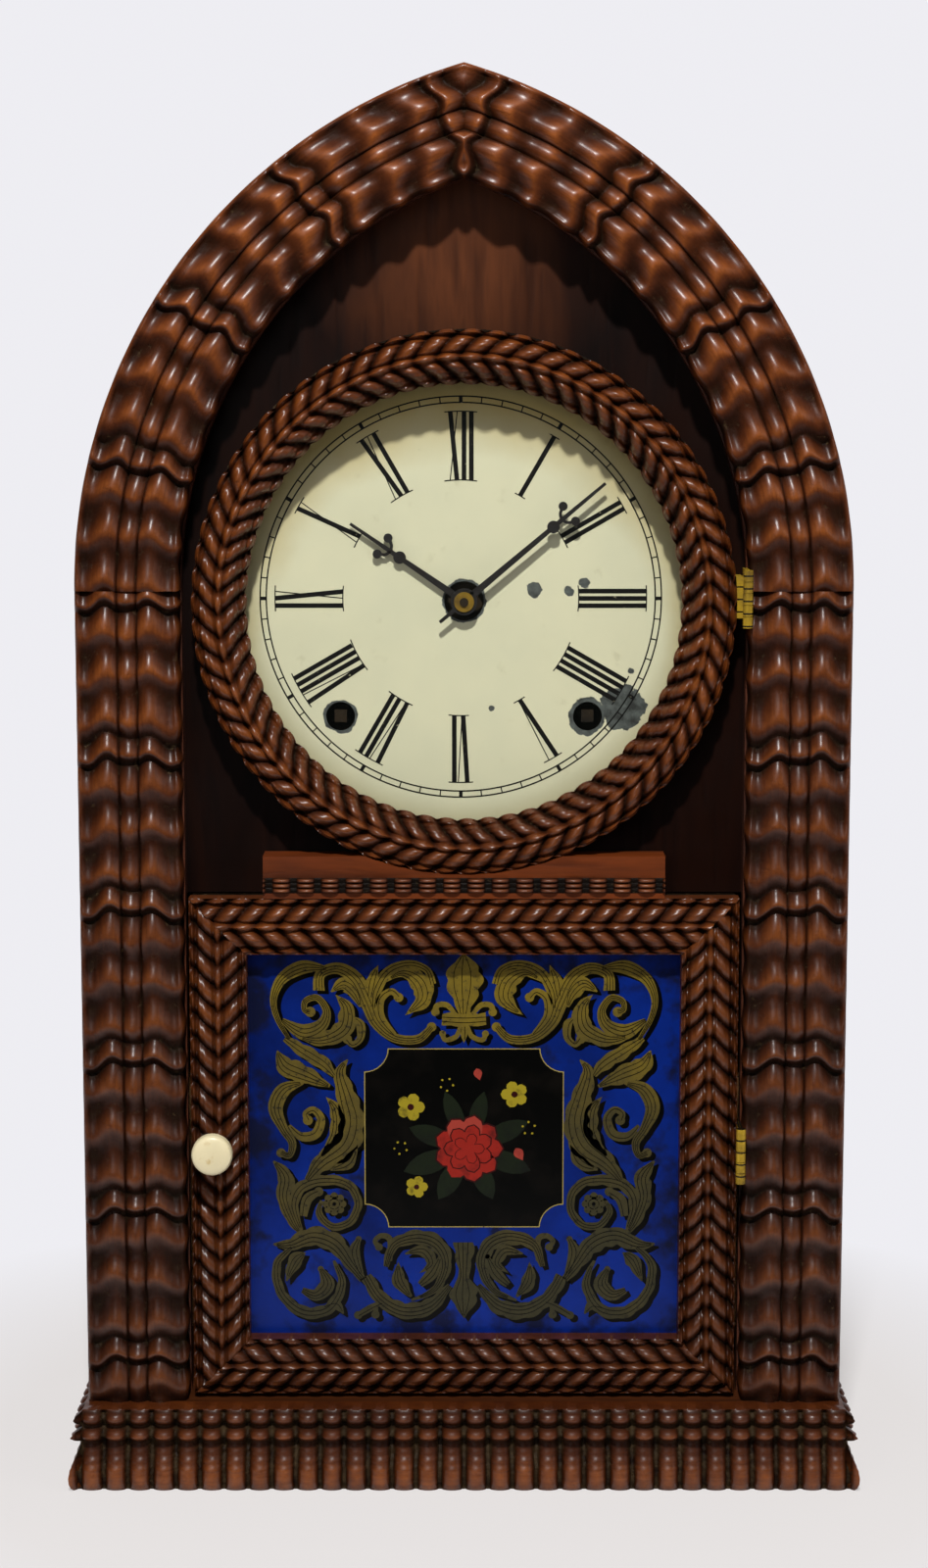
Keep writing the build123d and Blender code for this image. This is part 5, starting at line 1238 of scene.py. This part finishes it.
def makeTabletBlue():
    # blue ground, mottled, with dark wear towards its edges
    material, tree, shader = newMaterial("tabletBlue")
    spot = objectSpot(tree)
    tone = patchMask(tree, spot, 22.0, 0.3, 0.7)
    base = mixColour(tree, tone, shade(5, 38, 126), shade(4, 20, 75))
    apart = addNode(tree, "ShaderNodeSeparateXYZ", {0: spot})
    across = addMath(tree, "SUBTRACT", addMath(tree, "ABSOLUTE", apart.outputs[0]), 0.0745)
    above = addMath(tree, "SUBTRACT", apart.outputs[2], 0.11715)
    up = addMath(tree, "SUBTRACT", addMath(tree, "ABSOLUTE", above), 0.068)
    near = mapRange(tree, addMath(tree, "MAXIMUM", across, up), -0.016, 0.0)
    fine = addNode(tree, "ShaderNodeTexNoise", {"Vector": spot, "Scale": 170.0, "Detail": 6.0})
    broad = addNode(tree, "ShaderNodeTexNoise", {"Vector": spot, "Scale": 38.0, "Detail": 4.0})
    wear = addMath(tree, "ADD", times(tree, fine.outputs[0], 0.5), times(tree, broad.outputs[0], 0.6))
    wear = addMath(tree, "ADD", wear, times(tree, near, 0.12))
    mask = mapRange(tree, wear, 0.6, 0.74)
    base = mixColour(tree, times(tree, mask, 0.85), base, shade(10, 12, 26))
    tree.links.new(base, shader.inputs["Base Color"])
    tree.links.new(addMath(tree, "ADD", 0.3, times(tree, mask, 0.1)), shader.inputs["Roughness"])
    shader.inputs["Specular IOR Level"].default_value = 0.15
    return material


def dress(material, *names):
    for name in names:
        node = nodes[name]
        node.data.materials.clear()
        node.data.materials.append(material)


def makeClearGlass():
    material, tree, shader = newMaterial("windowGlass")
    spot = objectSpot(tree)
    haze = patchMask(tree, spot, 40.0, 0.5, 0.9)
    shader.inputs["Base Color"].default_value = (0.03, 0.035, 0.03, 1)
    shader.inputs["Roughness"].default_value = 0.03
    tree.links.new(addMath(tree, "ADD", 0.035, times(tree, haze, 0.02)), shader.inputs["Alpha"])
    return material


setUpStudio()
rippleWood = makeRippleWood("rippleWood", 0.14, rippleFinish["paintedFootShade"])
makePillars(rippleWood)
makeArches(makeRippleWood("rippleArchWood", 0.14, rippleFinish["paintedArchLight"]))
makeDoorFrame(rippleWood)
makeBezel(rippleWood)
makeBase(makeRippleWood("rippleBaseWood", 0.5))
makeBridge(makeRippleWood("bridgeReedWood", 0.02))

ink = makePaint("printInk", shade(13, 11, 8), shade(168, 162, 128), 700.0, 0.66, 0.72, 0.5, 0.2)
makeDialPrinting(ink)
tabletPaints = {
    "black": makePaint("tabletBlack", shade(4, 4, 3), shade(14, 10, 6), 60.0, 0.5, 0.8, 0.3, 0.12),
    "gold": makeTabletGold(),
    "line": makePaint("fieldGilt", shade(150, 132, 70), shade(40, 34, 18), 300.0, 0.6, 0.7, 0.36, 0.2),
    "red": makePaint("petalRed", shade(140, 32, 22), shade(84, 16, 11), 160.0, 0.5, 0.7, 0.34, 0.2),
    "deepRed": makePaint("petalDeepRed", shade(48, 10, 8), shade(24, 6, 5), 160.0, 0.5, 0.7, 0.34, 0.2),
    "pink": makePaint("petalPink", shade(152, 56, 44), shade(108, 34, 28), 160.0, 0.5, 0.7, 0.34, 0.2),
    "yellow": makePaint("petalYellow", shade(150, 133, 30), shade(80, 70, 16), 200.0, 0.55, 0.7, 0.34, 0.2),
    "green": makePaint("leafGreen", shade(22, 29, 15), shade(10, 13, 7), 120.0, 0.45, 0.7, 0.34, 0.2)}
makeTablet(tabletPaints)

panelWood = makeBoardWood("panelMahogany", shade(92, 49, 24), shade(56, 27, 13), "z", 5.0, 7.0, 0.36, 0.12,
                          (0.0, -0.021, 0.425))
veneer = makeBoardWood("sideVeneer", shade(98, 50, 28), shade(54, 26, 14), "z", 5.0, 9.0, 0.36, 0.4)
bridgeWood = makeBoardWood("bridgeBoardWood", shade(112, 50, 14), shade(76, 33, 9), "x", 7.0, 9.0, 0.4, 0.2)
baseWood = makeBoardWood("baseBoardWood", shade(74, 36, 13), shade(46, 22, 8), "x", 7.0, 9.0, 0.42, 0.15)
pine = makeBoardWood("backPine", shade(150, 110, 70), shade(112, 76, 44), "z", 5.0, 8.0, 0.6, 0.3)
brass = makeMetal("agedBrass", shade(176, 140, 66), shade(98, 76, 34), 0.32)
hingeBrass = makeMetal("hingeBrass", shade(190, 154, 38), shade(116, 90, 22), 0.36, 160.0, 0.4, 4.2 * mm)
washerBrass = makeMetal("washerBrass", shade(150, 118, 34), shade(90, 68, 20), 0.36, 160.0, 0.4)
steel = makeMetal("darkSteel", shade(38, 34, 30), shade(20, 17, 14), 0.42, 90.0)
bluedSteel = makeMetal("brownedHands", shade(26, 20, 15), shade(13, 10, 8), 0.4, 240.0, 0.0)
# tarnished brass, darkened further to painted shade so that the works look dark through the dial's centre hole
shadedPlateBrass = makeMetal("tarnishedShadedPlates", shade(58, 44, 22), shade(26, 20, 12), 0.5, 70.0, 0.6)
iron = makeMetal("gongIron", shade(58, 54, 52), shade(64, 42, 28), 0.5, 120.0)
bone = makePaint("turnedBone", shade(232, 218, 176), shade(190, 160, 96), 220.0, 0.58, 0.75, 0.3, 0.5)
zincBack = makeMetal("tackSteel", shade(90, 90, 84), shade(50, 46, 40), 0.45, 200.0)

dress(panelWood, "spandrel_panel")
dress(veneer, "left_case_side", "right_case_side", "front_frame")
dress(bridgeWood, "bridge_block")
dress(baseWood, "base_board")
dress(pine, "backboard", "movement_blocks", "gong_block", "tablet_strips")
dress(makeDialPaint(), "dial")
dress(makeTabletBlue(), "tablet_glass")
dress(makeClearGlass(), "bezel_glass")
dress(zincBack, "dial_tacks", "movement_screws")
dress(hingeBrass, "hinge_case_leaves", "hinge_pins", "hinge_door_leaves")
dress(washerBrass, "hand_washer")
makeHands(bluedSteel)
makeKnob(bone)
makeBackNails(steel)
dress(steel, "verge", "suspension_spring", "pendulum_rod", "hammer", "mainsprings", "latch_tongue")
dress(iron, "gong_coil")
dress(brass, "back_plate", "plate_pillars", "suspension_cock", "time_second_wheel", "time_third_wheel",
      "escape_wheel", "pendulum_bob", "rating_nut", "strike_second_wheel", "strike_pin_wheel", "strike_fly")
dress(shadedPlateBrass, "front_plate", "hour_wheel", "centre_wheel", "minute_wheel", "time_great_wheel", "strike_great_wheel")
print("materials placed")
